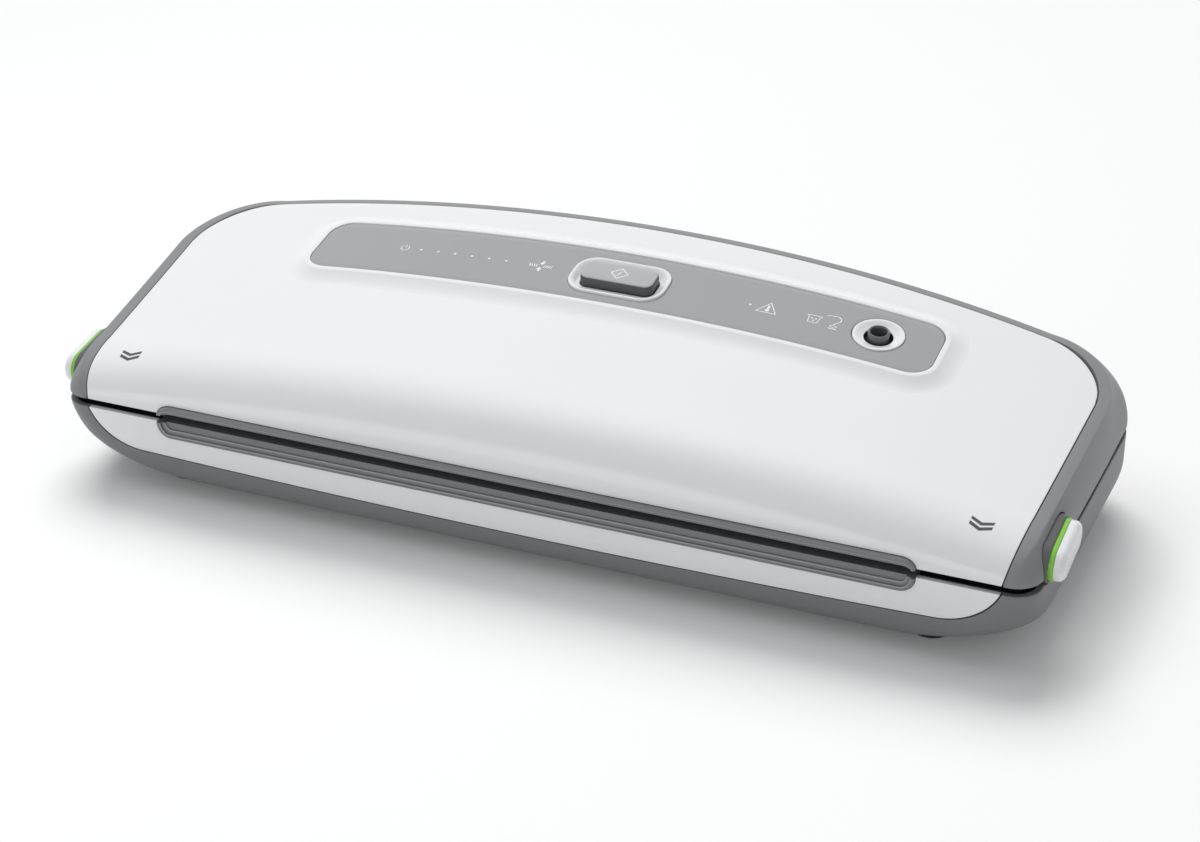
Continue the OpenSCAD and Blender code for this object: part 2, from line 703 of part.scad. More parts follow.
module power_board() {
    color([0.1, 0.35, 0.2]) placed() difference() {
        box(-70, 70, board_y - 28, board_y + 28, stand_z, stand_z + board_t);
        for (x = [-1, 1], y = [-1, 1])
            post(x * board_hole[0], board_y + y * board_hole[1], stand_z - 1, stand_z + 4, 1.4);
    }
}

module transformer() {
    z = stand_z + board_t;
    color([0.35, 0.33, 0.3]) placed() {
        box(-20, 20, board_y - 13, board_y + 15, z, z + 4);
        box(-26, 26, board_y - 15, board_y - 11, z, 28);
        box(-26, 26, board_y + 13, board_y + 17, z, 28);
        box(-20, 20, board_y - 11, board_y + 13, z + 4, 26);
    }
}

module power_components() {
    z = stand_z + board_t;
    color([0.15, 0.16, 0.18]) placed() {
        for (x = [-56, -44]) post(x, board_y - 11, z, 27, 5);
        for (x = [40, 48, 56]) box(x - 2.5, x + 2.5, board_y - 17, board_y - 13, z, 22);
        box(36, 60, board_y - 7, board_y + 9, z, 26);
        box(-62, -38, board_y + 1, board_y + 17, z, 20);
        box(-34, -30, board_y - 19, board_y + 21, z, 24);
    }
}

// Screw with its head below the seat and a cross in the head
module screw(x, y, seat, len) {
    difference() {
        union() {
            post(x, y, seat - 2.2, seat, 3.1);
            post(x, y, seat - 0.5, seat + len, 1.5);
        }
        for (a = [0, 90]) translate([x, y, seat - 1.9]) rotate([0, 0, a])
            cube([3.4, 0.8, 1.6], center = true);
    }
}

module base_screws() {
    color("Silver") placed() for (p = base_screw_at) screw(p[0], p[1], 12, deck_z - 15);
}

module foot(x, y) {
    color([0.1, 0.1, 0.1]) placed() post(x, y, 0, foot_h, foot_r);
}

foot_x = side_x - 43.6;
foot_y = 25;                       // middle of the front feet

module foot_front_left() {
    foot(-foot_x, foot_y);
}

module foot_front_right() {
    foot(foot_x, foot_y);
}

module foot_rear_left() {
    foot(-foot_x, body_d - 34);
}

module foot_rear_right() {
    foot(foot_x, body_d - 34);
}

module hinge_pin(x) {
    color("Silver") placed() along_x(x - knuckle_l / 2 - ear_l - 1, x + knuckle_l / 2 + ear_l + 1)
        translate([hinge_y, hinge_z]) circle(r = pin_r);
}

module hinge_pin_left() {
    hinge_pin(-hinge_x);
}

module hinge_pin_right() {
    hinge_pin(hinge_x);
}

// ---- latches and release buttons, drawn for the right side ----

module housing() {
    y0 = release_y - 7;
    y1 = release_y + 8;
    color([0.3, 0.31, 0.33]) placed() difference() {
        union() {
            along_x(housing_x0, side_x - 0.8) pill_2d(1.5);
            box(housing_x0, side_x - 4.2, y0, y1, housing_foot, release_z);
        }
        along_x(housing_x0 + housing_t, side_x) pill_2d(0.7);
        box(housing_x0 + housing_t, side_x, y0 + housing_t, y1 - housing_t,
            housing_foot + housing_t, release_z);
        translate([side_x - 12, release_y, push_z]) rotate([0, 90, 0])
            cylinder(r = 1.8, h = 8);
    }
}

module button_housing_right() {
    housing();
}

module button_housing_left() {
    left_side() housing();
}

module latch_pin() {
    color("Silver") placed() translate([arm_x - arm_t / 2, release_y - 7, latch_z])
        rotate([-90, 0, 0]) cylinder(r = pin_r, h = 14);
}

module latch_pin_right() {
    latch_pin();
}

module latch_pin_left() {
    left_side() latch_pin();
}

// Closing spring wound round the latch pin, with one leg on the base
module latch_spring() {
    c = [arm_x - arm_t / 2, release_y, latch_z];
    coil = [for (i = [0:30]) let (a = 36 * i)
        [c[0] + 2.4 * cos(a), c[1] - 4.1 + 0.9 * i / 30 * 2.2, c[2] + 2.4 * sin(a)]];
    color("Silver") placed() swept(coil, 0.3, 6, [0.02, 1, 0.03]);
}

module latch_spring_right() {
    latch_spring();
}

module latch_spring_left() {
    left_side() latch_spring();
}

module latch_hook() {
    color([0.85, 0.85, 0.83]) placed() difference() {
        union() {
            along_y(release_y - 1.5, release_y + 3.5) polygon([
                [arm_x - arm_t, latch_z], [arm_x, latch_z], [arm_x, nose_z0],
                [arm_x + 3.2, nose_z0], [arm_x + 3.2, nose_z0 + 0.7], [arm_x, nose_z1],
                [arm_x - arm_t, nose_z1]]);
            along_y(release_y - 1.5, release_y + 3.5) translate([arm_x - arm_t / 2, latch_z])
                circle(r = 3);
        }
        translate([arm_x - arm_t / 2, release_y - 9, latch_z]) rotate([-90, 0, 0])
            cylinder(r = pin_r + run_gap, h = 18);
    }
}

module latch_hook_right() {
    latch_hook();
}

module latch_hook_left() {
    left_side() latch_hook();
}

module release_slide() {
    color([0.25, 0.25, 0.27]) placed() {
        box(slide_x0, slide_x0 + 1.4, release_y - 5, release_y + 5, 24.5, release_z);
        box(slide_x0, side_x - 0.2, release_y - 9, release_y + 9, release_z - 3, release_z + 3);
        translate([arm_x + 0.5, release_y, push_z]) rotate([0, 90, 0])
            cylinder(r = 1.5, h = slide_x0 - 0.3 - arm_x);
    }
}

module release_slide_right() {
    release_slide();
}

module release_slide_left() {
    left_side() release_slide();
}

module release_band() {
    color([0.45, 0.75, 0.2]) placed() along_x(side_x - 0.2, cap_x0) pill_2d(0.4);
}

module release_band_right() {
    release_band();
}

module release_band_left() {
    left_side() release_band();
}

module release_cap() {
    color("White") placed() {
        along_x(cap_x0, cap_x1 - 0.9) pill_2d(0);
        along_x(cap_x1 - 0.9, cap_x1 - 0.3) pill_2d(-0.35);
        along_x(cap_x1 - 0.3, cap_x1) pill_2d(-0.95);
    }
}

module release_cap_right() {
    release_cap();
}

module release_cap_left() {
    left_side() release_cap();
}

// ---- lid ----

module lid_cover() {
    button_hole = 0.6;
    color("White") placed() difference() {
        union() {
            cover_skin();
            for (p = lid_screw_at) post(p[0], p[1], lid_seat,
                top_z(p[0], p[1]) - (p[1] < shoulder_y ? 2.2 : 1.1), 4.2);
        }
        for (p = lid_screw_at) post(p[0], p[1], lid_seat - 1, lid_seat + 6, 1.56);
        box(-slot_w - 0.3, slot_w + 0.3, -1, lip_depth + 0.3, lid_z - 1,
            slit_z + slit_h / 2 + lip_h + 0.3);
        translate([0, panel_y, crown_z - 40]) linear_extrude(60)
            pad_2d(button_l + button_hole, button_d + button_hole, 3.8);
        on_surface(port_x, panel_y) cylinder(r = nozzle_r + 0.3, h = 20, center = true);
    }
}

module lid_frame() {
    color("Gray") placed() difference() {
        frame_skin();
        for (s = [0, 1]) mirror([s, 0, 0]) hull() {
            along_x(side_x - 11, side_x + 4) pill_2d(2.0);
            along_x(side_x - 11, side_x + 4) translate([0, -10]) pill_2d(3.0);
        }
        for (x = [-hinge_x, hinge_x])
            box(x - knuckle_l - 2, x + knuckle_l + 2, hinge_y - 8, body_d + 2, 30, lid_z + 6.4);
    }
}

module lid_pan() {
    color("DimGray") placed() difference() {
        union() {
            translate([0, 0, pan_z]) linear_extrude(pan_t)
                plan_2d(pan_w, 4.6, pan_back, 16, back_r - 2);
            for (p = lid_screw_at) post(p[0], p[1], pan_z, lid_seat, 4.5);
            post(vac_at[0], vac_at[1], pan_z, pan_top + 4, 2.2);
            for (s = [-1, 1], e = [-1, 1]) {
                x0 = s * hinge_x + e * (knuckle_l / 2 + 0.4 + ear_l / 2) - ear_l / 2;
                along_x(x0, x0 + ear_l) translate([hinge_y, hinge_z]) circle(r = knuckle_r);
                box(x0, x0 + ear_l, hinge_y - 7, hinge_y, pan_z, hinge_z + knuckle_r);
            }
        }
        for (p = lid_screw_at) {
            post(p[0], p[1], 0, lid_seat + 1, 1.8);
            post(p[0], p[1], 0, lid_seat - 3.8, 3.4);
        }
        box(-slot_w - 0.3, slot_w + 0.3, 0, lip_depth + 0.3, 0, 60);
        translate([0, vac_at[1], pan_z - 1]) linear_extrude(2) ring_2d(2 * gasket_hw + 0.6,
            channel_d + 2 * (gasket_pad + gasket_w) + 0.6, 9.3, gasket_w + 0.6);
        box(-bar_w - 0.3, bar_w + 0.3, bar_y - 3.3, bar_y + 3.3, 0, pan_z + 1);
        post(vac_at[0], vac_at[1], 0, 60, 1.4);
        for (s = [-1, 1]) scale([s, 1, 1]) {
            box(arm_x - 8.3, arm_x + 1.4, release_y - 6, release_y + 5, 0, 60);
            box(side_x - 10.4, side_x, release_y - 21.5, release_y + 24.5, 0, 60);
            box(hinge_x - knuckle_l / 2 - 0.4, hinge_x + knuckle_l / 2 + 0.4, hinge_y - 5,
                body_d, 0, 60);
            along_x(hinge_x - 20, hinge_x + 20) translate([hinge_y, hinge_z])
                circle(r = pin_r + run_gap);
        }
    }
}

module pressure_strip() {
    color([0.15, 0.15, 0.16]) placed() box(-bar_w, bar_w, bar_y - 3, bar_y + 3,
        bar_top + 0.6, pan_z + 1);
}

module panel_frame() {
    color("White") placed() difference() {
        ladder_of([panel_loop(3.4, 0.1), panel_loop(2.2, 1.3), panel_loop(1.2, 2.2),
            panel_loop(0.6, pad_h), panel_loop(0.2, pad_h - 0.1), panel_loop(0.2, 1)]);
        translate([0, panel_y, crown_z - 40]) linear_extrude(60)
            pad_2d(button_l + 0.6, button_d + 0.6, 3.8);
        on_surface(port_x, panel_y) cylinder(r = nozzle_r + 0.3, h = 20, center = true);
    }
}

module panel_inlay() {
    color([0.62, 0.64, 0.66]) placed() difference() {
        ladder_of([panel_loop(-0.1, 1.05), panel_loop(-0.1, pad_h - 0.5),
            panel_loop(-0.3, pad_h - 0.3)]);
        translate([0, panel_y, crown_z - 40]) linear_extrude(60) pad_2d(39.6, 24.6, 9.3);
        on_surface(port_x, panel_y) cylinder(r = 10.6, h = 20, center = true);
    }
}

module button_ring() {
    color("White") placed() panel_prism(1.1, pad_h + 0.5)
        difference() {
            pad_2d(39, 24, 9);
            pad_2d(button_l + 0.6, button_d + 0.6, 3.8);
        }
}

module port_ring() {
    color("White") placed() on_surface(port_x, panel_y) difference() {
        translate([0, 0, 1.2]) cylinder(r = 10.3, h = pad_h - 0.8);
        cylinder(r = nozzle_r + 1.3, h = 20, center = true);
    }
}

port_n = unit([-slope_x(port_x), -slope_y(panel_y), 1]);
port_foot = [port_x, panel_y, top_z(port_x, panel_y)] - 8 * port_n;

port_tube_y = round(port_foot[1] * 10) / 10;
head_x = -5.5;                     // axis of the pump's piston
head_y = pump_y + 18;
head_l = 20;
piston_r = 7.5;
in_at = [pump_y + 24, pump_z - 4];
out_at = [port_tube_y, pump_z - 2];

module port_nozzle() {
    color([0.8, 0.82, 0.84]) placed() difference() {
        union() {
            on_surface(port_x, panel_y) translate([0, 0, -8.5])
                cylinder(r = nozzle_r, h = 12.5 + pad_h);
            on_surface(port_x, panel_y) translate([0, 0, -4.2])
                cylinder(r = nozzle_r + 2, h = 1.7);
            post(port_foot[0], port_foot[1], port_foot[2] - 5.6, port_foot[2], 2.2);
        }
        on_surface(port_x, panel_y) translate([0, 0, -3]) cylinder(r = port_bore_r, h = 20);
    }
}

module control_board() {
    color([0.1, 0.35, 0.2]) placed() box(-97, 97, panel_y - 12, panel_y + 13,
        board_z - board_t, board_z);
}

module tact_switch() {
    color([0.15, 0.15, 0.16]) placed() {
        box(-3, 3, panel_y - 3, panel_y + 3, board_z, board_z + 3);
        post(0, panel_y, board_z + 3, button_z - button_travel - 0.3, 1.6);
    }
}

button_z = board_z + 5.2;

module indicator_leds() {
    color([0.9, 0.85, 0.5]) placed() for (x = [-93, -85.8, -78.4, -71, -63.6, -56.2, -48.6,
            -33.8, 53.8, 61, 80.3, 87.3])
        box(x - 1, x + 1, panel_y - 1, panel_y + 1, board_z, board_z + 0.8);
}

module lid_screws() {
    color("Silver") placed() for (p = lid_screw_at) screw(p[0], p[1], lid_seat - 3.8, 9);
}

motor_x0 = -46;
motor_x1 = motor_x0 + motor_l;

module pump_bracket() {
    color("Silver") placed() difference() {
        union() {
            box(motor_x0 - 4, 8, pump_y - 14, head_y + head_l, pan_top, pan_top + 1.4);
            box(motor_x1, motor_x1 + 1.4, pump_y - 13, pump_y + 13, pan_top, pump_z + 10);
            box(motor_x0 + 2, motor_x0 + 6, pump_y - 9, pump_y + 9, pan_top, pump_z - 6);
            box(-12, 1, head_y, head_y + head_l - 2, pan_top, pump_z - 6);
        }
        along_x(motor_x0 - 1, motor_x1) translate([pump_y, pump_z]) circle(r = motor_r + 0.05);
        along_x(motor_x0, 2) translate([pump_y, pump_z]) circle(r = 3);
        translate([head_x, head_y - 1, pump_z]) rotate([-90, 0, 0])
            cylinder(r = 9.05, h = head_l + 10);
    }
}

module pump_motor() {
    color([0.55, 0.56, 0.58]) placed() difference() {
        union() {
            along_x(motor_x0, motor_x1) translate([pump_y, pump_z]) circle(r = motor_r);
            along_x(motor_x0 - 3, motor_x0) translate([pump_y, pump_z]) circle(r = motor_r - 3);
        }
        along_x(motor_x0 + 4, motor_x1 + 1) translate([pump_y, pump_z])
            circle(r = pin_r + run_gap);
    }
}

module motor_shaft() {
    color("Silver") placed() along_x(motor_x0 + 6, -3) translate([pump_y, pump_z])
        circle(r = pin_r);
}

module eccentric() {
    color([0.8, 0.75, 0.5]) placed() difference() {
        along_x(-7.5, -3.5) translate([pump_y + 1.5, pump_z]) circle(r = 4.5);
        along_x(-8, -3) translate([pump_y, pump_z]) circle(r = pin_r);
    }
}

module piston() {
    color([0.85, 0.85, 0.83]) placed() {
        difference() {
            box(-7.5, -3.5, pump_y - 9.8, pump_y + 9.8, pump_z - 9, pump_z + 9);
            box(-8, -3, pump_y - 7.9, pump_y + 7.9, pump_z - 7, pump_z + 7);
        }
        translate([head_x, pump_y + 9.5, pump_z]) rotate([-90, 0, 0])
            cylinder(r = 1.9, h = 14);
        translate([head_x, pump_y + 23, pump_z]) rotate([-90, 0, 0])
            cylinder(r = piston_r, h = 4);
    }
}

module pump_head() {
    color([0.2, 0.2, 0.22]) placed() difference() {
        union() {
            translate([head_x, head_y, pump_z]) rotate([-90, 0, 0]) cylinder(r = 9, h = head_l);
            for (p = [out_at, in_at]) along_x(head_x, 9) translate(p) circle(r = 2.2);
        }
        translate([head_x, head_y - 1, pump_z]) rotate([-90, 0, 0])
            cylinder(r = piston_r + run_gap, h = head_l - 2);
        for (p = [out_at, in_at]) along_x(head_x, 10) translate(p) circle(r = 1.2);
    }
}

// Wall of a soft tube in section
module tube_2d() {
    difference() {
        circle(r = 3.3, $fn = 24);
        circle(r = 2.26, $fn = 24);
    }
}

module tube_run(a, b) {
    d = b - a;
    translate(a) rotate([0, acos(d[2] / norm(d)), atan2(d[1], d[0])])
        linear_extrude(norm(d)) tube_2d();
}

module tube_bend(r) {
    rotate_extrude(angle = 90) translate([r, 0]) tube_2d();
}

module vacuum_tube() {
    x = vac_at[0];
    y = in_at[0];
    z = in_at[1];
    r = 6;
    color([0.75, 0.78, 0.8]) placed() {
        tube_run([4.2, y, z], [x - r, y, z]);
        translate([x - r, y - r, z]) tube_bend(r);
        tube_run([x, y - r, z], [x, vac_at[1] + r, z]);
        translate([x, vac_at[1] + r, z - r]) rotate([0, -90, 0]) rotate([0, 0, -90]) tube_bend(r);
        tube_run([x, vac_at[1], pan_top + 0.4], [x, vac_at[1], z - r]);
    }
}

module port_tube() {
    x = round(port_foot[0] * 10) / 10;
    y = out_at[0];
    z = out_at[1];
    r = 6;
    color([0.75, 0.78, 0.8]) placed() {
        tube_run([4.2, y, z], [x - r, y, z]);
        translate([x - r, y, z + r]) rotate([0, 90, 0]) rotate([90, 0, 0]) tube_bend(r);
        tube_run([x, y, z + r], [x, y, port_foot[2] - 2.2]);
    }
}

module start_button() {
    color("White") placed() {
        panel_prism(-3.5, pad_h + 3) pad_2d(button_l, button_d, 3.5);
        intersection() {
            panel_prism(-8, -2.6) pad_2d(button_l + 4, button_d + 4, 5);
            translate([-40, panel_y - 20, button_z]) cube([80, 40, 20]);
        }
    }
}

module button_spring() {
    z0 = board_z + 0.3;
    z1 = button_z - 0.3;
    coil = [for (i = [0:40]) [5.2 * cos(36 * i), panel_y + 5.2 * sin(36 * i),
        z0 + (z1 - z0) * i / 40]];
    color("Silver") placed() swept(coil, 0.28, 6, [0, 0, 1]);
}

base_shell();
front_trim();
base_deck();
drip_tray();
lower_slot_lip();
lower_gasket();
seal_bar_carrier();
heating_strip();
ptfe_tape();
power_board();
transformer();
power_components();
base_screws();
foot_front_left();
foot_front_right();
foot_rear_left();
foot_rear_right();
hinge_pin_left();
hinge_pin_right();
button_housing_left();
button_housing_right();
latch_pin_left();
latch_pin_right();
latch_spring_left();
latch_spring_right();
latch_hook_left();
latch_hook_right();
release_slide_left();
release_slide_right();
release_band_left();
release_band_right();
release_cap_left();
release_cap_right();
lid_cover();
lid_frame();
lid_pan();
upper_slot_lip();
upper_gasket();
pressure_strip();
panel_frame();
panel_inlay();
button_ring();
port_ring();
port_nozzle();
control_board();
tact_switch();
indicator_leds();
lid_screws();
pump_bracket();
pump_motor();
pump_head();
vacuum_tube();
port_tube();
motor_shaft();
eccentric();
piston();
start_button();
button_spring();
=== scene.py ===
import math

import bmesh
import bpy
import numpy as np
from mathutils import Matrix, Vector


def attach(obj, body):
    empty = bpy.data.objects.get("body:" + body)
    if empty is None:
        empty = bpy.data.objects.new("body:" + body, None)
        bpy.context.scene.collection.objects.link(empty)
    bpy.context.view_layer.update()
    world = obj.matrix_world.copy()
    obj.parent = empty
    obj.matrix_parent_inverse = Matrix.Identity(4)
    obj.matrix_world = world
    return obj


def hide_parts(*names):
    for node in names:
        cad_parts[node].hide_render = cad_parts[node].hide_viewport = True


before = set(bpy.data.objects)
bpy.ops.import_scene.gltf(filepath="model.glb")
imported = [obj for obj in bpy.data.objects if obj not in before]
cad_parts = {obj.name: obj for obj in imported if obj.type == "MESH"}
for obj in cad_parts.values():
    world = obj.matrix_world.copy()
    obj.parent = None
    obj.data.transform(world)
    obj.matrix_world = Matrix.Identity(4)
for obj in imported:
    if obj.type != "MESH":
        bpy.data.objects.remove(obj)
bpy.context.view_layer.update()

# Vacuum sealer: the looks of the part, piece by piece, round the CAD frame.
# Numbers are millimetres with y from the body's front face, unless a comment says otherwise.
# link() and cutter() turn them into the frame's metres.
MM = 0.001
BODY_D = 154.0
HALF = BODY_D / 2

# ---------------------------------------------------------------- camera
# Fitted to the photo: angles, focal length in photo pixels, distance, and how far the target
# stands right of and above the middle of the picture.
AZ, EL, ROLL = math.radians(22.08), math.radians(28.01), math.radians(0.26)
FOCAL_PX, DIST = 2803.06, 1100.24
OFF_RIGHT, OFF_UP = 3.40, 20.58
TARGET = (0, 90 - HALF, 45.0)           # with y from the body's middle
PHOTO_W, SENSOR_W = 1200, 36


def make_camera():
    right = np.array([math.cos(AZ), math.sin(AZ), 0])
    fwd = np.array([-math.sin(AZ) * math.cos(EL), math.cos(AZ) * math.cos(EL), -math.sin(EL)])
    up = np.cross(right, fwd)
    r = right * math.cos(ROLL) + up * math.sin(ROLL)
    u = -right * math.sin(ROLL) + up * math.cos(ROLL)
    pos = np.array(TARGET) - OFF_RIGHT * r - OFF_UP * u - DIST * fwd
    data = bpy.data.cameras.new("camera")
    cam = bpy.data.objects.new("camera", data)
    bpy.context.scene.collection.objects.link(cam)
    rows = [(r[i], u[i], -fwd[i], pos[i] * MM) for i in range(3)]
    cam.matrix_world = Matrix(rows + [(0, 0, 0, 1)])
    data.lens = FOCAL_PX * SENSOR_W / PHOTO_W
    data.sensor_width = SENSOR_W
    data.clip_start = 0.05
    data.clip_end = 60
    bpy.context.scene.camera = cam


make_camera()
bpy.context.scene.view_settings.view_transform = "Standard"

# ---------------------------------------------------------------- main form
SIDE, SIDE0 = 196.6, 195.2              # half width of the body, and the same at its front
FACE = 1.2                              # y of the cover's front edge
LID_Z, RIM_Z = 37.8, 34.4               # lower edge of the lid, upper edge of the base
WALL = 2.4                              # thickness of the frame and of the base tray
TOP, TOP_Y = 81.2, 130                  # height of the lid's middle line at TOP_Y
RISE, RISE_2 = 0.164, 0.000115          # its slope there, and how fast that grows
ARCH, ARCH_2, ARCH_4 = 13.5, 0.865, 0.135   # fall to the sides: square and fourth-power share
CX1, CX0, CR = 190.0, 164.0, 26.0       # cover: half width, start and radius of its rear corner
BACK_GAP, BACK_BOW = 12.8, 11.6         # cover: distance from the back, curve of its rear edge
HW0, TUCK = 185, 2.4                    # cover: half width at the front, draw-in at the face
SH_HANDLE, SH_END = 8, 24               # y of the front shoulder's last handle and of its end
FRONT_R, BACK_R = 10.5, 22.0            # corners of the frame and of the base
# bag slot: middle, height, half width, depth of the lips, and the heights of the lips
SLIT_Z, SLIT_H, SLOT_W, LIP_D = 35.65, 3.3, 152.0, 9.0
UPPER_H, LOWER_H = 3.7, 6.0
SLIT_TOP, SLIT_LOW = SLIT_Z + SLIT_H / 2, SLIT_Z - SLIT_H / 2
# control panel: half width, front and back edge with their curves, corner, middle row
PW, PY0, PY1, PR = 129.7, 84.5, 119.0, 9.0
BOW0, BOW1 = 1.8, 4
PY = (PY0 + PY1) / 2 - 0.8
PORT_X = 105.5
# release buttons: middle, length, height, tilt
REL_Y, REL_Z, REL_L, REL_H, TILT = 27.6, 41.4, 29.0, 12.4, math.radians(7)
HINGE_X, FOOT_X = 120, 153


def arch(x):
    return ARCH * (ARCH_2 * (x / CX1) ** 2 + ARCH_4 * (x / CX1) ** 4)


def top_z(x, y):
    """Height of the lid's upper surface."""
    return TOP - arch(x) + RISE * (y - TOP_Y) + RISE_2 * (y - TOP_Y) ** 2


def slope_y(y):
    return RISE + 2 * RISE_2 * (y - TOP_Y)


def slope_x(x):
    return ARCH * (-2 * ARCH_2 * x / CX1 ** 2 - 4 * ARCH_4 * x ** 3 / CX1 ** 4)


def back_y(x):
    """Rear edge of the cover."""
    a = abs(x)
    corner = 0 if a <= CX0 else CR - math.sqrt(max(0, CR * CR - (a - CX0) ** 2))
    return BODY_D - BACK_GAP - BACK_BOW * (a / CX0) ** 2 - corner


SIDE_Y = back_y(CX1)


def cover_hw(y):
    return HW0 + (CX1 - HW0) * min(1, y / SIDE_Y)


def shoulder(x):
    """Bezier points (y, z) of the cover's front, from its lower edge to the top surface."""
    h = top_z(x, SH_HANDLE) - LID_Z
    z1 = top_z(x, SH_END)
    pts = ((FACE, LID_Z), (FACE + 0.13 * h, LID_Z + 0.62 * h),
           (SH_HANDLE, z1 - (SH_END - SH_HANDLE) * slope_y(SH_END)), (SH_END, z1))
    return [np.array(p) for p in pts]


def bezier(p, t):
    s = 1 - t
    return s ** 3 * p[0] + 3 * t * s ** 2 * p[1] + 3 * t * t * s * p[2] + t ** 3 * p[3]


def bezier_dir(p, t):
    d = (1 - t) ** 2 * (p[1] - p[0]) + 2 * t * (1 - t) * (p[2] - p[1]) + t * t * (p[3] - p[2])
    return d / np.linalg.norm(d)


def cover_pt(u, v):
    """Cover surface: u from -1 to 1 across, v from 0 to 1 up the front and to 2 at the back."""
    if v <= 1:
        p = bezier(shoulder(u * HW0), v)
        return np.array([u * (cover_hw(p[0]) - TUCK * (1 - v) ** 2), p[0], p[1]])
    y = SH_END + (back_y(u * CX1) - SH_END) * (v - 1)
    x = u * cover_hw(y)
    return np.array([x, y, top_z(x, y)])


def cover_in(u, v):
    """Direction into the cover, in the plane x = constant."""
    if v <= 1:
        d = bezier_dir(shoulder(u * HW0), v)
    else:
        s = slope_y(cover_pt(u, v)[1])
        d = np.array([1, s]) / math.hypot(1, s)
    return np.array([0, d[1], -d[0]])


# ---------------------------------------------------------------- outlines
def unit(v):
    v = np.array(v, float)
    return v / np.linalg.norm(v)


def steps(*parts):
    """Values of several (start, end, count) rows that share their ends."""
    rows = [np.linspace(*p) for p in parts]
    return np.concatenate([rows[0]] + [r[1:] for r in rows[1:]])


def arc(cx, cy, r, a0, a1, k):
    angles = [math.radians(a) for a in np.linspace(a0, a1, k)]
    return [(cx + r * math.cos(a), cy + r * math.sin(a)) for a in angles]


def circle(cx, cy, r, k):
    angles = np.linspace(0, 2 * math.pi, k + 1)[:-1]
    return [(cx + r * math.cos(a), cy + r * math.sin(a)) for a in angles]


def round_rect(w, h, r, k=10):
    pts = []
    corners = ((w / 2 - r, h / 2 - r, 0), (-w / 2 + r, h / 2 - r, 90),
               (-w / 2 + r, -h / 2 + r, 180), (w / 2 - r, -h / 2 + r, 270))
    for cx, cy, a0 in corners:
        for i in range(k + 1):
            a = math.radians(a0 + 90 * i / k)
            pts.append((cx + r * math.cos(a), cy + r * math.sin(a)))
    return pts


def mirrored(row):
    return [np.array([-p[0], p[1], p[2]]) for p in row]


def convex(points):
    """Convex outline round flat points."""
    pts = sorted(set((round(a, 5), round(b, 5)) for a, b in points))

    def turns_in(o, a, b):
        return (a[0] - o[0]) * (b[1] - o[1]) - (a[1] - o[1]) * (b[0] - o[0]) <= 0

    def half(ps):
        h = []
        for p in ps:
            while len(h) > 1 and turns_in(h[-2], h[-1], p):
                h.pop()
            h.append(p)
        return h
    a, b = half(pts), half(pts[::-1])
    return a[:-1] + b[:-1]


# ---------------------------------------------------------------- meshes
def to_frame(verts):
    return [(v[0] * MM, (v[1] - HALF) * MM, v[2] * MM) for v in verts]


def link(name, verts, faces, body, slot, mat, smooth=True, replaces=None):
    me = bpy.data.meshes.new(name)
    me.from_pydata(to_frame(verts), [], faces)
    me.validate()
    me.update()
    ob = bpy.data.objects.new(name, me)
    bpy.context.scene.collection.objects.link(ob)
    if smooth:
        for p in me.polygons:
            p.use_smooth = True
    me.materials.append(mat)
    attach(ob, body)
    if replaces:
        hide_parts(*replaces)
    return ob


def fix_normals(ob):
    bm = bmesh.new()
    bm.from_mesh(ob.data)
    bmesh.ops.recalc_face_normals(bm, faces=bm.faces)
    bm.to_mesh(ob.data)
    bm.free()


def apply_mods(ob):
    dg = bpy.context.evaluated_depsgraph_get()
    me = bpy.data.meshes.new_from_object(ob.evaluated_get(dg))
    ob.modifiers.clear()
    ob.data = me


def smooth_by_angle(ob, deg):
    """Smooth faces, with sharp edges where the surface turns by more than deg."""
    bm = bmesh.new()
    bm.from_mesh(ob.data)
    for e in bm.edges:
        if len(e.link_faces) == 2:
            e.smooth = e.calc_face_angle(0) < math.radians(deg)
    for f in bm.faces:
        f.smooth = True
    bm.to_mesh(ob.data)
    bm.free()


def bevel(ob, width, segments, angle, smooth=32):
    m = ob.modifiers.new("bevel", "BEVEL")
    m.width = width * MM
    m.segments = segments
    m.limit_method = "ANGLE"
    m.angle_limit = math.radians(angle)
    m.harden_normals = False
    apply_mods(ob)
    smooth_by_angle(ob, smooth)


def cutter(verts, faces):
    """Helper solid for one boolean, which removes it."""
    me = bpy.data.meshes.new("cutter")
    me.from_pydata(to_frame(verts), [], faces)
    ob = bpy.data.objects.new("cutter", me)
    bpy.context.scene.collection.objects.link(ob)
    fix_normals(ob)
    return ob


def boolean(ob, tool, op="DIFFERENCE"):
    m = ob.modifiers.new("cut", "BOOLEAN")
    m.object = tool
    m.operation = op
    m.solver = "EXACT"
    apply_mods(ob)
    bpy.data.objects.remove(tool)


def grid_faces(n, m, closed_m=False, flip=False, off=0):
    """Quads over n rows of m points, which start at vertex off."""
    f = []
    for i in range(n - 1):
        for j in range(m if closed_m else m - 1):
            a, b = i * m + j, i * m + (j + 1) % m
            c, d = (i + 1) * m + (j + 1) % m, (i + 1) * m + j
            q = [a + off, b + off, c + off, d + off]
            f.append(q[::-1] if flip else q)
    return f


def sheet(upper, lower):
    """Closed plate between two grids of points of the same size."""
    n, m = len(upper), len(upper[0])
    o = n * m
    verts = [p for r in upper for p in r] + [p for r in lower for p in r]
    faces = grid_faces(n, m, flip=True) + grid_faces(n, m, off=o)
    for i in range(n - 1):
        for j in (0, m - 1):
            a, b = i * m + j, (i + 1) * m + j
            faces.append([a, b, o + b, o + a])
    for j in range(m - 1):
        for i in (0, n - 1):
            a, b = i * m + j, i * m + j + 1
            faces.append([a, b, o + b, o + a])
    return verts, faces


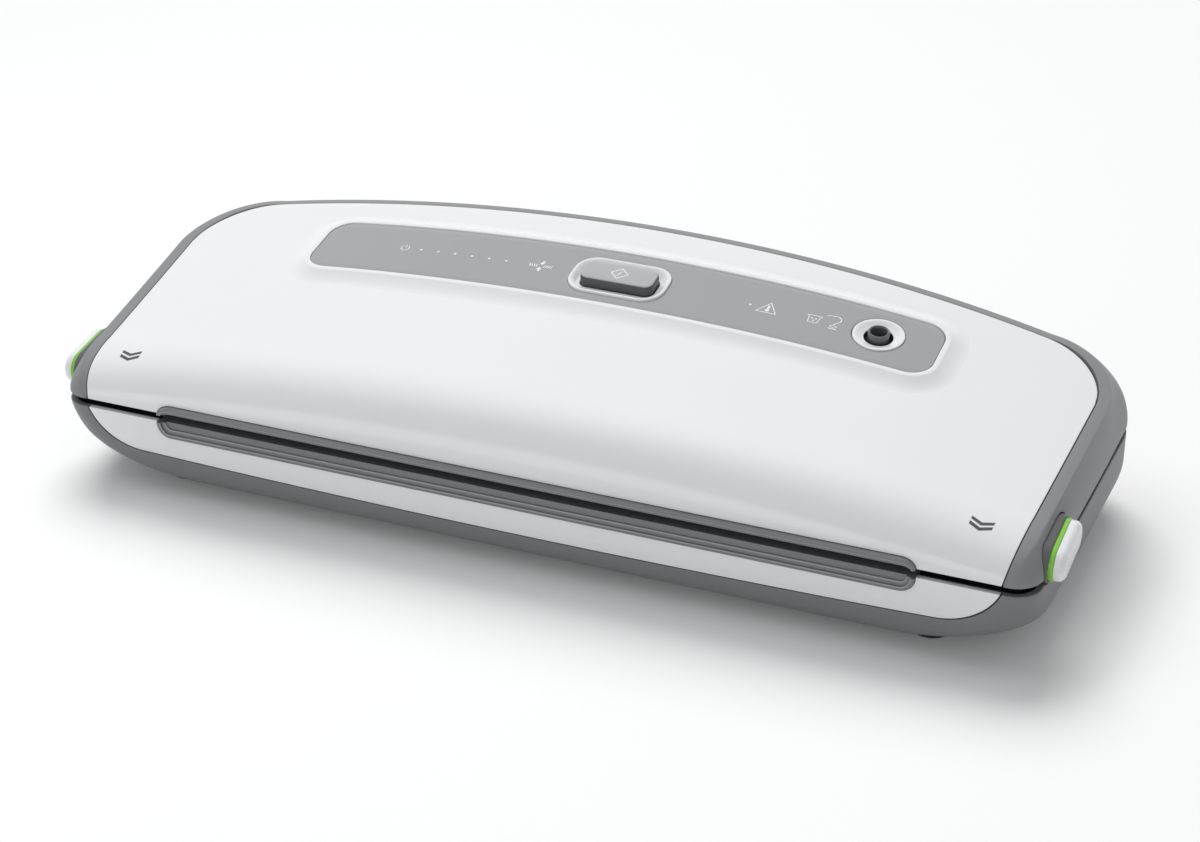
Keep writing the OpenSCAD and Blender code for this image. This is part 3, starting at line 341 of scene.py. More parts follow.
def prism(loop, a, b, axis):
    """Solid between two copies of a closed outline; axis is the constant coordinate."""
    def at(p, c):
        return {"x": (c, p[0], p[1]), "y": (p[0], c, p[1]), "z": (p[0], p[1], c)}[axis]
    n = len(loop)
    verts = [at(p, a) for p in loop] + [at(p, b) for p in loop]
    faces = [list(range(n)), list(range(2 * n - 1, n - 1, -1))]
    faces += [[i, i + n, (i + 1) % n + n, (i + 1) % n] for i in range(n)]
    return verts, faces


def cut(ob, loop, a, b, axis):
    boolean(ob, cutter(*prism(loop, a, b, axis)))


def loops_mesh(rings, cap_first=True, cap_last=True):
    """Skin over closed rings of equal length."""
    m = len(rings[0])
    verts = [p for r in rings for p in r]
    faces = grid_faces(len(rings), m, closed_m=True)
    if cap_last:
        faces.append([(len(rings) - 1) * m + j for j in range(m)])
    if cap_first:
        faces.append([j for j in range(m)][::-1])
    return verts, faces


def ring_piece(name, rings, body, slot, mat, replaces=None, caps=(True, True)):
    ob = link(name, *loops_mesh(rings, *caps), body, slot, mat, replaces=replaces)
    fix_normals(ob)
    smooth_by_angle(ob, 40)


def turned_piece(name, c, ex, ey, axis, profile, k, *args, **kw):
    """Piece turned about axis through c; profile is a list of (radius, height)."""
    angles = [2 * math.pi * i / k for i in range(k)]
    rings = [[c + ex * r * math.cos(a) + ey * r * math.sin(a) + axis * h for a in angles]
             for r, h in profile]
    ring_piece(name, rings, *args, caps=(False, False), **kw)


# ---------------------------------------------------------------- materials
def nodes_of(block):
    block.use_nodes = True
    return block.node_tree.nodes, block.node_tree.links


def map_range(n, low, high):
    node = n.new("ShaderNodeMapRange")
    node.inputs["From Min"].default_value = 0.1
    node.inputs["From Max"].default_value = 0.9
    node.inputs["To Min"].default_value = low
    node.inputs["To Max"].default_value = high
    return node


def plastic(name, color, rough, coat=0.0, grain=0.0, grain_scale=900.0, vary=0.03, spec=0.5,
            metallic=0.0, coat_rough=0.05):
    """Moulded surface: a faint cloud in colour and gloss, and a fine grain as bump."""
    mat = bpy.data.materials.new(name)
    n, l = nodes_of(mat)
    b = n["Principled BSDF"]
    b.inputs["Roughness"].default_value = rough
    b.inputs["Metallic"].default_value = metallic
    b.inputs["Specular IOR Level"].default_value = spec
    b.inputs["Coat Weight"].default_value = coat
    b.inputs["Coat Roughness"].default_value = coat_rough
    coords = n.new("ShaderNodeTexCoord")
    cloud = n.new("ShaderNodeTexNoise")
    cloud.inputs["Scale"].default_value = 38.0
    cloud.inputs["Detail"].default_value = 4.0
    l.new(coords.outputs["Object"], cloud.inputs["Vector"])
    tone = map_range(n, 1 - vary, 1 + vary * 0.4)
    l.new(cloud.outputs["Fac"], tone.inputs["Value"])
    tint = n.new("ShaderNodeVectorMath")
    tint.operation = "SCALE"
    tint.inputs[0].default_value = color
    l.new(tone.outputs["Result"], tint.inputs["Scale"])
    l.new(tint.outputs["Vector"], b.inputs["Base Color"])
    gloss = map_range(n, rough * 0.95, rough * 1.05)
    l.new(cloud.outputs["Fac"], gloss.inputs["Value"])
    l.new(gloss.outputs["Result"], b.inputs["Roughness"])
    if grain > 0:
        fine = n.new("ShaderNodeTexNoise")
        fine.inputs["Scale"].default_value = grain_scale
        fine.inputs["Detail"].default_value = 3.0
        l.new(coords.outputs["Object"], fine.inputs["Vector"])
        bump = n.new("ShaderNodeBump")
        bump.inputs["Strength"].default_value = grain
        bump.inputs["Distance"].default_value = 0.0001
        l.new(fine.outputs["Fac"], bump.inputs["Height"])
        l.new(bump.outputs["Normal"], b.inputs["Normal"])
    return mat


M_WHITE = plastic("gloss_white", (0.86, 0.868, 0.88), 0.2, coat=0.3, vary=0.01, grain=0.02,
                  grain_scale=300)
M_GREY = plastic("satin_grey", (0.21, 0.213, 0.22), 0.48, spec=0.3, vary=0.02, grain=0.12,
                 grain_scale=1400)
M_FRAME = plastic("lid_grey", (0.27, 0.273, 0.28), 0.5, spec=0.22, vary=0.02, grain=0.12,
                  grain_scale=1400)
# dark plastic, also used as painted shade in the port well, the groove round the front strip and
# the lid split
M_DARK_AND_SHADE = plastic("dark_plastic", (0.022, 0.023, 0.025), 0.5, grain=0.25, grain_scale=1200)
M_HOUSING = plastic("housing_grey", (0.1, 0.102, 0.106), 0.42, grain=0.2, grain_scale=1200)
M_LIP = plastic("lip_grey", (0.2, 0.202, 0.207), 0.4, grain=0.18, grain_scale=1200)
# the paler lip grey is a painted highlight for the lips' step edges, where light catches them
M_LIP_HIGHLIGHT = plastic("lip_painted_highlight", (0.42, 0.422, 0.43), 0.34, grain=0.1, grain_scale=1200)
M_PANEL = plastic("panel_film", (0.34, 0.345, 0.355), 0.26, coat=0.25, vary=0.01, grain=0.05,
                  grain_scale=700)
M_KEY = plastic("key_grey", (0.44, 0.445, 0.455), 0.3, coat=0.15, coat_rough=0.15, vary=0.01,
                grain=0.06, grain_scale=900)
# near-black grey for the start key's sides: painted shade, on a key that is the same grey plastic
# as its top
M_KEY_SIDE_SHADE = plastic("key_side_painted_shade", (0.06, 0.061, 0.064), 0.35, vary=0.02, grain=0.1,
                    grain_scale=900)
M_SPOUT = plastic("spout_grey", (0.12, 0.122, 0.127), 0.32, coat=0.2, coat_rough=0.15, vary=0.03,
                  grain=0.06, grain_scale=900)
M_GREEN = plastic("green_band", (0.22, 0.58, 0.035), 0.28, coat=0.2, vary=0.03)
M_RUBBER = plastic("black_rubber", (0.02, 0.02, 0.021), 0.7, grain=0.5, grain_scale=700)
M_FOAM = plastic("gasket_foam", (0.03, 0.03, 0.032), 0.85, grain=1.0, grain_scale=500)
M_STEEL = plastic("plain_steel", (0.58, 0.58, 0.6), 0.3, metallic=1.0, grain=0.2, grain_scale=400)
M_TAPE = plastic("glass_cloth_tape", (0.42, 0.31, 0.17), 0.45, grain=0.6, grain_scale=1600)
M_BOARD = plastic("circuit_board", (0.02, 0.16, 0.07), 0.35, coat=0.3, vary=0.12, grain=0.3,
                  grain_scale=260)
M_TUBE = plastic("milky_tube", (0.62, 0.66, 0.68), 0.35, vary=0.04, grain=0.1)
M_COPPER = plastic("winding", (0.35, 0.18, 0.08), 0.4, vary=0.15, grain=0.8, grain_scale=350,
                   metallic=0.5)
M_PRINT = plastic("panel_print", (0.9, 0.91, 0.92), 0.4, vary=0.02)
M_MARK = plastic("dark_print", (0.075, 0.08, 0.085), 0.45, vary=0.03)
M_LIGHT = plastic("indicator", (0.78, 0.8, 0.8), 0.2, coat=0.4, vary=0.02)

# ---------------------------------------------------------------- cover
SLOT_GAP = 0.3                          # room round the lips
LIP_R = 6.0                             # corner of the lips
COVER_T = 2.2


def slot_corner(z_from, height, angles, side):
    """Corner of an opening for a lip, on the right (side 1) or the left: its middle is at z_from,
    and height is its upright radius."""
    r, w = LIP_R + SLOT_GAP, SLOT_W + SLOT_GAP
    pts = []
    for a in angles:
        q = math.radians(a)
        pts.append((side * (w - r) + r * math.cos(q), z_from + height * math.sin(q)))
    return pts


def make_cover():
    half = steps((0, 0.8, 44), (0.8, 0.97, 22), (0.97, 1, 12))
    us = np.concatenate([-half[::-1], half[1:]])
    vs = steps((0, 1, 30), (1, 2, 40))
    outer = [[cover_pt(u, v) for v in vs] for u in us]
    inner = []
    for i, u in enumerate(us):
        row = [outer[i][j] + COVER_T * cover_in(u, v) for j, v in enumerate(vs)]
        inner.append([np.array([p[0], p[1], max(p[2], LID_Z)]) for p in row])
    ob = link("cover_shell", *sheet(outer, inner), "lid", "white_plastic", M_WHITE,
              replaces=["lid_cover"])
    fix_normals(ob)
    # opening for the upper lip, and holes under the start key and the port
    w, rise = SLOT_W + SLOT_GAP, UPPER_H + SLOT_GAP
    loop = [(-w, 30.0), (w, 30.0)]
    loop += slot_corner(SLIT_TOP, rise, range(0, 91, 9), 1)
    loop += slot_corner(SLIT_TOP, rise, range(90, 181, 9), -1)
    cut(ob, loop, -3, LIP_D + SLOT_GAP, "y")
    cut(ob, [(x, y + PY) for x, y in round_rect(31.4, 13.2, 3.8)], 50, 100, "z")
    cut(ob, circle(PORT_X, PY, 5.75, 48), 50, 100, "z")
    bevel(ob, 0.55, 3, 42, smooth=40)


make_cover()


# ---------------------------------------------------------------- raised panel
def panel_front(x):
    return PY0 - BOW0 * (x / PW) ** 2


def panel_back(x):
    return PY1 - BOW1 * (x / PW) ** 2


def panel_loop(g, dz, k=88, c=14):
    """Panel outline grown by g, dz above the lid's surface; k points a side, c a corner."""
    r = PR + g
    inner = PW + g - r
    xs = list(np.linspace(-inner, inner, k))
    turn = np.linspace(0, math.pi / 2, c)
    fy = panel_front(inner) - g + r
    by = panel_back(inner) + g - r
    pts = [(x, panel_front(x) - g) for x in xs]
    pts += [(inner + r * math.sin(a), fy - r * math.cos(a)) for a in turn[1:]]
    pts += [(inner + r * math.cos(a), by + r * math.sin(a)) for a in turn]
    pts += [(x, panel_back(x) + g) for x in xs[::-1][1:]]
    pts += [(-inner - r * math.sin(a), by + r * math.cos(a)) for a in turn[1:]]
    pts += [(-inner - r * math.cos(a), fy - r * math.sin(a)) for a in turn[:-1]]
    return [np.array([x, y, top_z(x, y) + dz]) for x, y in pts]


# border, as (outset from the film's edge, height): soft flank, then the rounded ring
FLANK_OUT, FLANK_W, FLANK_RISE, FLANK_POWER = 9.2, 6.5, 2.18, 1.7
border = [(9.6, -0.1)]
border += [(FLANK_OUT - FLANK_W * t, 0.02 + FLANK_RISE * t ** FLANK_POWER)
           for t in (i / 14 for i in range(15))]
border += [(2.5, 2.32), (2.2, 2.4), (1.7, 2.42), (0.7, 2.42), (0.42, 2.36), (0.26, 2.2),
           (0.2, 1.9), (0.2, -0.2)]
rings = [panel_loop(g, dz) for g, dz in border]
surround = link("panel_surround", *loops_mesh(rings, cap_first=False, cap_last=False), "lid",
                "white_plastic", M_WHITE, replaces=["panel_frame"])
smooth_by_angle(surround, 50)


def film_rows(g, dz):
    """Grid of points over the panel, front to back, that follows the arch."""
    r = PR + g
    end, flat = PW + g, PW + g - PR
    rows = []
    for x in steps((-end, -flat, 16), (-flat, flat, 90), (flat, end, 16)):
        over = max(0, abs(x) - (PW + g - r))
        corner = r - math.sqrt(max(0, r * r - over * over))
        y0 = panel_front(x) - g + corner
        y1 = panel_back(x) + g - corner
        rows.append([np.array([x, y, top_z(x, y) + dz]) for y in np.linspace(y0, y1, 12)])
    return rows


FILM_GROW, FILM_LOW, FILM_TOP = -0.05, 1.05, 2.05
upper = film_rows(FILM_GROW, FILM_TOP)
lower = [[p - np.array([0, 0, FILM_TOP - FILM_LOW]) for p in row] for row in upper]
film = link("panel_film_sheet", *sheet(upper, lower), "lid", "panel_film", M_PANEL,
            replaces=["panel_inlay"])
fix_normals(film)
cut(film, [(x, y + PY) for x, y in round_rect(40.4, 23.8, 9.2)], 50, 100, "z")
cut(film, circle(PORT_X, PY, 10.5, 64), 50, 100, "z")
bevel(film, 0.25, 2, 40)


# ---------------------------------------------------------------- port and start key
def port_piece(name, profile, slot, mat, replaces=None):
    """Turned piece of the port, square to the lid's surface."""
    x, y = PORT_X, PY
    n = unit((-slope_x(x), -slope_y(y), 1))
    ey = unit((0, 1, slope_y(y)))
    turned_piece(name, np.array([x, y, top_z(x, y)]), np.cross(ey, n), ey, n, profile, 72,
                 "lid", slot, mat, replaces=replaces)


port_piece("port_dish", [
    (10.1, 1.2), (10.1, 2.3), (10.0, 2.5), (9.7, 2.62), (9.2, 2.6), (8.4, 2.3), (7.4, 1.75),
    (6.5, 1.45), (6.0, 1.35), (5.75, 1.2), (5.7, 0.95), (5.9, 0.6), (9.8, 0.5)],
    "white_plastic", M_WHITE, replaces=["port_ring"])
# the well round the spout is lined dark: painted shade in the hole
port_piece("port_well_shade", [(5.85, 0.8), (5.66, 0.7), (5.6, 0.5), (5.6, -2.0), (4.3, -2.0)],
           "dark_plastic", M_DARK_AND_SHADE)
port_piece("port_spout", [
    (4.2, -8.0), (4.2, 3.4), (4.15, 3.7), (4.0, 3.92), (3.8, 4.0), (3.6, 4.0), (3.4, 3.9),
    (3.2, 3.6), (3.2, -3.0), (0.01, -3.0)],
    "panel_film", M_SPOUT, replaces=["port_nozzle"])


def key_ring(w, h, r, dz):
    """Rounded rectangle in the plane that touches the lid at the middle of the key."""
    s = slope_y(PY)
    rise = dz * math.sqrt(1 + s * s)
    return [np.array([px, PY + py, top_z(0, PY) + s * py + rise])
            for px, py in round_rect(w, h, r, 12)]


def key_piece(name, levels, body, slot, mat, **kw):
    """Piece over levels of (length, depth, corner, height above the lid)."""
    ring_piece(name, [key_ring(*level) for level in levels], body, slot, mat, **kw)


key_piece("button_dish", [
    (40, 23.4, 9, 1.2), (40, 23.4, 9, 2.55), (39.7, 23.1, 8.85, 2.78), (39.1, 22.5, 8.6, 2.88),
    (38.2, 21.6, 8.2, 2.84), (36.8, 20.2, 7.6, 2.4), (35.2, 18.0, 6.6, 1.6), (34, 16.0, 5.6, 1.1),
    (32.8, 14.4, 4.6, 0.85), (31.5, 13.2, 4.0, 0.8), (31.1, 12.9, 3.8, 0.6),
    (31.1, 12.9, 3.8, -1.5)],
    "lid", "white_plastic", M_WHITE, replaces=["button_ring"], caps=(False, False))
# the key is hollow underneath, where its spring stands; its sides are painted near-black as shade
key_piece("start_key_body", [
    (29.3, 11.3, 2.8, -1.0), (29.3, 11.3, 2.8, -4.0), (30.3, 12.1, 3.2, -4.0),
    (30.3, 12.1, 3.2, 3.6), (30.1, 11.9, 3.1, 4.15), (29.9, 11.7, 3.0, 4.35),
    (29.5, 11.3, 2.9, 4.4)],
    "start_key", "dark_plastic", M_KEY_SIDE_SHADE, replaces=["start_button"])
key_piece("start_key_top", [
    (29.7, 11.5, 3.0, 4.3), (29.75, 11.55, 3.0, 4.42), (29.6, 11.4, 2.95, 4.6),
    (29.2, 11.0, 2.8, 4.7), (28.0, 9.8, 2.4, 4.75), (15, 4, 1.5, 4.78)],
    "start_key", "panel_film", M_KEY)

# ---------------------------------------------------------------- frame round the lid
# A station s = (part, value): part 0 is the side, with the cover's v; part 1 the rear corner and
# part 2 the back, both from 0 to 1.
V_C = 0.78                              # where the frame's front corner ends
BAND_W, BAND_DROP, SEAM = 5.3, 0.5, 0.45    # sloping band, and the gap to the cover
LOW_CY = FACE - 0.3 + FRONT_R
V_C_Y = cover_pt(1, V_C)[1]
RUN = (BODY_D - BACK_R - SIDE_Y, BACK_R * math.pi / 2, SIDE - BACK_R - CX0)
X_DIR, Y_DIR, Z_DIR = np.eye(3)


def side_at(y):
    return SIDE0 + (SIDE - SIDE0) * min(1, max(0, (y - FRONT_R) / 90))


def seam_pt(s):
    """Point on the cover's edge."""
    if s[0] == 0:
        return cover_pt(1, s[1])
    if s[0] == 1:
        a = math.radians(90 * s[1])
        x = CX0 + CR * math.cos(a)
        y = SIDE_Y + (back_y(CX0) - SIDE_Y) * math.sin(a)
    else:
        x = CX0 * (1 - s[1])
        y = back_y(x)
    return np.array([x, y, top_z(x, y)])


def seam_in(s):
    """Direction into the lid at the cover's edge."""
    if s[0] == 0:
        return cover_in(1, s[1])
    sl = slope_y(seam_pt(s)[1])
    return np.array([0, sl, -1]) / math.hypot(1, sl)


def seam_out(s):
    """Direction away from the cover, seen from above."""
    if s[0] == 0:
        return X_DIR
    if s[0] == 1:
        a = math.radians(82 * s[1])
        return np.array([math.cos(a), math.sin(a), 0])
    return unit((2 * BACK_BOW * seam_pt(s)[0] / CX0 ** 2, 1, 0))


def lower_pt(s):
    """Point on the frame's lower edge, and the direction out of the wall there."""
    if s[0] == 0:
        if s[1] < V_C:
            a = math.radians(-100 + 100 * s[1] / V_C)
            p = np.array([SIDE0 - FRONT_R + FRONT_R * math.cos(a),
                          LOW_CY + FRONT_R * math.sin(a), LID_Z])
            return p, np.array([math.cos(a), math.sin(a), 0])
        y = LOW_CY + (seam_pt(s)[1] - V_C_Y) * (SIDE_Y - LOW_CY) / (SIDE_Y - V_C_Y)
        return np.array([side_at(y), y, LID_Z]), X_DIR
    if s[0] == 2:
        return np.array([seam_pt(s)[0], BODY_D, LID_Z]), Y_DIR
    d = s[1] * sum(RUN)
    if d < RUN[0]:
        return np.array([SIDE, SIDE_Y + d, LID_Z]), X_DIR
    if d < RUN[0] + RUN[1]:
        a = (d - RUN[0]) / BACK_R
        p = np.array([SIDE - BACK_R + BACK_R * math.cos(a),
                      BODY_D - BACK_R + BACK_R * math.sin(a), LID_Z])
        return p, np.array([math.cos(a), math.sin(a), 0])
    return np.array([SIDE - BACK_R - (d - RUN[0] - RUN[1]), BODY_D, LID_Z]), Y_DIR


def share(s):
    """How much of its full width the band has: it narrows to the front."""
    return 0.25 + 0.75 * s[1] / V_C if s[0] == 0 and s[1] < V_C else 1.0


def above(p, z):
    return np.array([p[0], p[1], max(p[2], z)])


def ridge_pt(s, f=1.0):
    """Point on the sloping band, a share f of the way from the cover to the ridge."""
    k = share(s)
    p = seam_pt(s) + (SEAM + (BAND_W * k - SEAM) * f) * seam_out(s)
    p[2] -= BAND_DROP * k * f
    return above(p, LID_Z + 0.3)


def wall_pt(s, t):
    """Point on the frame's wall, from the ridge (t = 0) to its lower edge (t = 1)."""
    r, l = ridge_pt(s), lower_pt(s)[0]
    c = np.array([l[0], l[1], LID_Z + 0.45 * (r[2] - LID_Z)])
    return (1 - t) ** 2 * r + 2 * t * (1 - t) * c + t * t * l


def section(s):
    """Closed cross-section: seam, band, wall, inside of the wall, ledge under the cover."""
    n, m, o, k = lower_pt(s)[1], seam_in(s), seam_out(s), share(s)
    sp = seam_pt(s)
    pts = [above(sp + SEAM * o + 1.9 * m, LID_Z + 0.8),
           above(sp + SEAM * o + 0.45 * m, LID_Z + 0.3),
           above(sp + 0.57 * o + 0.12 * m, LID_Z + 0.3)]
    pts += [ridge_pt(s, f) for f in (0.12, 0.4, 0.7, 0.9)]
    pts.append(ridge_pt(s) - 0.10 * k * Z_DIR)
    pts += [wall_pt(s, t)
            for t in (0.03, 0.07, 0.14, 0.22, 0.3, 0.4, 0.5, 0.6, 0.7, 0.8, 0.9, 0.97, 1.0)]
    low = lower_pt(s)[0]
    ledge = sp + 2.4 * m
    tip = ledge - 3.4 * o - np.array([0, 0, 3.4 * slope_y(sp[1]) * o[1]])
    pts += [low - WALL * n, wall_pt(s, 0.8) - WALL * n, wall_pt(s, 0.5) - WALL * n,
            above(tip + 1.8 * m, LID_Z + 0.3), above(tip, LID_Z + 0.8),
            above(ledge + SEAM * o, LID_Z + 0.8)]
    return pts


stations = [(0, v) for v in steps((0.02, 1, 40), (1, 2, 26))]
stations += [(1, v) for v in np.linspace(0, 1, 26)[1:]]
stations += [(2, v) for v in np.linspace(0, 1, 30)[1:]]
right_rows = [section(s) for s in stations]
rows = right_rows + [mirrored(r) for r in right_rows[-2::-1]]
n_r, m_r = len(rows), len(rows[0])
faces = grid_faces(n_r, m_r, closed_m=True)
faces += [list(range(m_r)), [(n_r - 1) * m_r + j for j in range(m_r)][::-1]]
lid_frame = link("lid_side_frame", [p for r in rows for p in r], faces, "lid", "base_plastic",
                 M_FRAME, replaces=["lid_frame"])
fix_normals(lid_frame)


def pill(grow, k=18, dz=0.0):
    """Tilted outline (y, z) of a release button, grown and moved up by dz."""
    h = REL_H / 2 + grow
    half = (REL_L - REL_H) / 2
    c, s = math.cos(TILT), math.sin(TILT)
    pts = []
    for end, a0 in ((1, -90), (-1, 90)):
        for i in range(k + 1):
            a = math.radians(a0 + 180 * i / k)
            py, pz = end * half + h * math.cos(a), h * math.sin(a)
            pts.append((REL_Y + py * c - pz * s, REL_Z + dz + py * s + pz * c))
    return pts


SIDES = ((1, "right"), (-1, "left"))
notch = convex(pill(2.0) + pill(3.0, dz=-10))
for sgn, side in SIDES:
    cut(lid_frame, notch, sgn * (SIDE - 11), sgn * (SIDE + 4), "x")
    # room for the hinge stand
    x0, x1, y0, y1 = sgn * HINGE_X - 14, sgn * HINGE_X + 14, 144.5, 156.5
    cut(lid_frame, [(x0, y0), (x1, y0), (x1, y1), (x0, y1)], 30, LID_Z + 6.4, "z")
smooth_by_angle(lid_frame, 38)

# ---------------------------------------------------------------- base
TRAY_Z, EDGE_H, EDGE_IN = 3, 20, 16     # underside of the tray, height and depth of its edge


def tray_ring(a, z0, inner, k=14):
    """One level of the tray: a > 0 is an angle on the rounded lower edge, and a = 0 the wall at
    height z0. inner = 1 gives the inside."""
    out, rise = 1 - math.cos(a), inner * WALL * math.sin(a)
    e = inner * WALL * math.cos(a)
    z = z0 if a == 0 else TRAY_Z + EDGE_H * (1 - math.sin(a))
    i = EDGE_IN * out + e
    rf = FRONT_R + 40 * ((RIM_Z - z) / (RIM_Z - TRAY_Z)) ** 1.5 - e
    rb = BACK_R + 8 * out - e
    pts = [(SIDE0 - i - rf + rf * math.cos(q), FACE - 0.3 + i + rf + rf * math.sin(q), z + rise)
           for q in np.linspace(-math.pi / 2, 0, k)]
    pts += [(SIDE - i - rb + rb * math.cos(q), BODY_D - i - rb + rb * math.sin(q), z + rise)
            for q in np.linspace(0, math.pi / 2, k)]
    return [np.array(p) for p in pts] + mirrored(pts[::-1])


levels = [(math.radians(a), 0) for a in np.linspace(90, 6, 15)]
levels += [(0, z) for z in (23.0, 24.5, 26, 28, 30, 32, 33.4, 34.1)]
top_ring = tray_ring(0, RIM_Z, 0)
outer = [tray_ring(a, z, 0) for a, z in levels]
rim = [np.array((p[0] * 0.9985, p[1] + (HALF - p[1]) * 0.002, RIM_Z)) for p in top_ring]
inner = [tray_ring(a, z, 1) for a, z in [(0, RIM_Z)] + levels[::-1]]
base = link("base_tray", *loops_mesh(outer + [rim] + inner), "base", "base_plastic", M_GREY,
            replaces=["base_shell"])
fix_normals(base)

# white strip: a plate in the tray's face, cut to the tray's outer form. Its lower edge sags to
# TRIM_Z at the middle, and a quarter ellipse round (TRIM_X, TRIM_TOP) ends it on each side.
TRIM_X, TRIM_Z, TRIM_SAG = 158.0, 17.3, 2.5
TRIM_TOP, TRIM_RX, TRIM_RZ = 42, 26, 22.2
TRIM_D = 2.88                           # y of its back


def trim_edge(x):
    a = abs(x)
    if a < TRIM_X:
        return TRIM_Z + TRIM_SAG * (x / TRIM_X) ** 2
    return TRIM_TOP - TRIM_RZ * math.sqrt(max(0, 1 - ((a - TRIM_X) / TRIM_RX) ** 2))


def trim_loop(grow, top=RIM_Z):
    rise = min(1.0, max(0.0, (TRIM_TOP - top - grow) / TRIM_RZ))
    last = math.asin(math.sqrt(1 - rise * rise))
    xs = list(np.linspace(0, TRIM_X, 24))
    xs += [TRIM_X + TRIM_RX * math.sin(a) for a in np.linspace(0, last, 24)[1:]]
    pts = [(x + grow * x / SIDE, trim_edge(x) - grow) for x in xs]
    return [(-x, z) for x, z in pts[::-1]][:-1] + pts


w, corner = SLOT_W + SLOT_GAP, LIP_R + SLOT_GAP
low = SLIT_LOW - LOWER_H - SLOT_GAP
pocket = [(w, 40.0), (-w, 40.0)]
pocket += slot_corner(low + corner, corner, range(180, 271, 9), -1)
pocket += slot_corner(low + corner, corner, range(270, 361, 9), 1)

cut(base, trim_loop(0.5, RIM_Z + 2), -3, 2.9, "y")
cut(base, pocket, -3, LIP_D + SLOT_GAP, "y")
for sgn, side in SIDES:
    cut(base, pill(2.0), sgn * (SIDE - 10.5), sgn * (SIDE + 4), "x")
SCREWS = ((-170.6, 74), (170.6, 74), (-170.6, 122), (170.6, 122), (-84, 136), (84, 136))
for x, y in SCREWS:
    cut(base, circle(x, y, 3.4, 32), -1, 8, "z")
cut(base, circle(-150, 24.4, 4.5, 40), 140, 160, "y")   # cord inlet
smooth_by_angle(base, 30)


def tray_solid(rings):
    return cutter(*loops_mesh(rings))


trim = link("front_trim_plate", *prism(trim_loop(0.0), -2, TRIM_D, "y"), "base",
            "white_plastic", M_WHITE, replaces=["front_trim"])
fix_normals(trim)
boolean(trim, tray_solid(outer + [top_ring]), "INTERSECT")
cut(trim, [(x * 0.9995, z - 0.02) for x, z in pocket], -3, 6, "y")
bevel(trim, 0.28, 3, 40)

# dark plate in the groove round the strip: painted shade in the gap between strip and tray
inset = [[np.array((p[0] * 0.9962, HALF + (p[1] - HALF) * 0.9905, p[2])) for p in ring]
         for ring in outer]
inset.append([np.array((p[0], p[1], RIM_Z - 0.4)) for p in inset[-1]])
groove_shade = link("trim_groove_shade", *prism(trim_loop(0.55, RIM_Z - 0.5), -2, TRIM_D - 0.02, "y"), "base",
             "dark_plastic", M_DARK_AND_SHADE)
fix_normals(groove_shade)
boolean(groove_shade, tray_solid(inset), "INTERSECT")
cut(groove_shade, [(x * 1.0005, z - 0.05) for x, z in pocket], -3, 6, "y")

# ---------------------------------------------------------------- slot lips
# (distance in from the outline, depth behind the front face)
LIP_STEPS = [(0, 8.8), (0, 0.5), (0.12, 0.18), (0.4, 0.02), (1.35, 0.02), (1.6, 0.16), (1.7, 0.45),
             (1.74, 1.05), (1.95, 1.15), (2.95, 1.2), (3.2, 1.35), (3.28, 1.6), (3.32, 2.2),
             (3.6, 2.3)]


def lip(name, z_in, sgn, height, body, node, highlight_spans):
    """Stepped lip from the slit (z_in) up or down; its step edges within the given spans get a
    paler grey, a painted highlight where they catch the light.
    """
    zc = max(0.0, height - LIP_R)
    loops = []
    for e, y in LIP_STEPS:
        pts = [(-SLOT_W + e, 0.0)]
        for a in np.linspace(0, 90, 14):
            q = math.radians(a)
            pts.append((-SLOT_W + LIP_R - (LIP_R - e) * math.cos(q),
                        zc + (height - zc - e) * math.sin(q)))
        pts += [(-p[0], p[1]) for p in pts[::-1]]
        loops.append([np.array((p[0], y, z_in + sgn * p[1])) for p in pts])
    n, m = len(loops), len(loops[0])
    faces = grid_faces(n, m)
    faces.append([(n - 1) * m + j for j in range(m)])
    faces.append([j for j in range(m)][::-1])
    faces.append([i * m for i in range(n)] + [i * m + m - 1 for i in range(n - 1, -1, -1)])
    ob = link(name, [p for row in loops for p in row], faces, body, "dark_plastic", M_LIP,
              replaces=[node])
    ob.data.materials.append(M_LIP_HIGHLIGHT)
    # faces of the step edges within the given spans take the paler grey, a painted highlight
    for i in range(n - 1):
        if any(lo <= LIP_STEPS[i][0] and LIP_STEPS[i + 1][0] <= hi for lo, hi in highlight_spans):
            for j in range(m - 1):
                ob.data.polygons[i * (m - 1) + j].material_index = 1
    fix_normals(ob)
    smooth_by_angle(ob, 35)


lip("upper_lip", SLIT_TOP, 1, UPPER_H, "lid", "upper_slot_lip", ((1.3, 1.75),))
lip("lower_lip", SLIT_LOW, -1, LOWER_H, "base", "lower_slot_lip", ((1.3, 1.65), (2.9, 3.3)))

# ---------------------------------------------------------------- release buttons
# levels of (distance from the middle of the body, growth of the outline)
CAP = [(197.6, -0.15), (197.75, 0), (199.3, 0), (199.9, -0.12), (200.5, -0.55), (201.0, -1.15),
       (201.3, -1.65), (201.5, -2.2), (201.55, -3.2), (201.57, -5)]
BAND = [(193.5, 0.3), (196.4, 0.4), (197.3, 0.4), (197.5, 0.3), (197.6, 0.0)]
POD = [(187.0, 0.7), (187.0, 1.3), (190.0, 1.5), (194.6, 1.5), (195.3, 1.35), (195.7, 1.1),
       (195.8, 0.85), (195.75, 0.72), (195.4, 0.7), (188.0, 0.7)]


def pill_piece(name, levels, sgn, body, slot, mat, **kw):
    rings = [[np.array((sgn * x, p[0], p[1])) for p in pill(g)] for x, g in levels]
    ring_piece(name, rings, body, slot, mat, **kw)


for sgn, side in SIDES:
    pill_piece("release_cap_" + side + "_piece", CAP, sgn, "release_" + side, "white_plastic",
               M_WHITE, replaces=["release_cap_" + side])
    pill_piece("release_band_" + side + "_piece", BAND, sgn, "release_" + side, "green_band",
               M_GREEN, replaces=["release_band_" + side])
    pill_piece("button_pod_" + side, POD, sgn, "base", "dark_plastic", M_HOUSING,
               replaces=["button_housing_" + side], caps=(False, True))

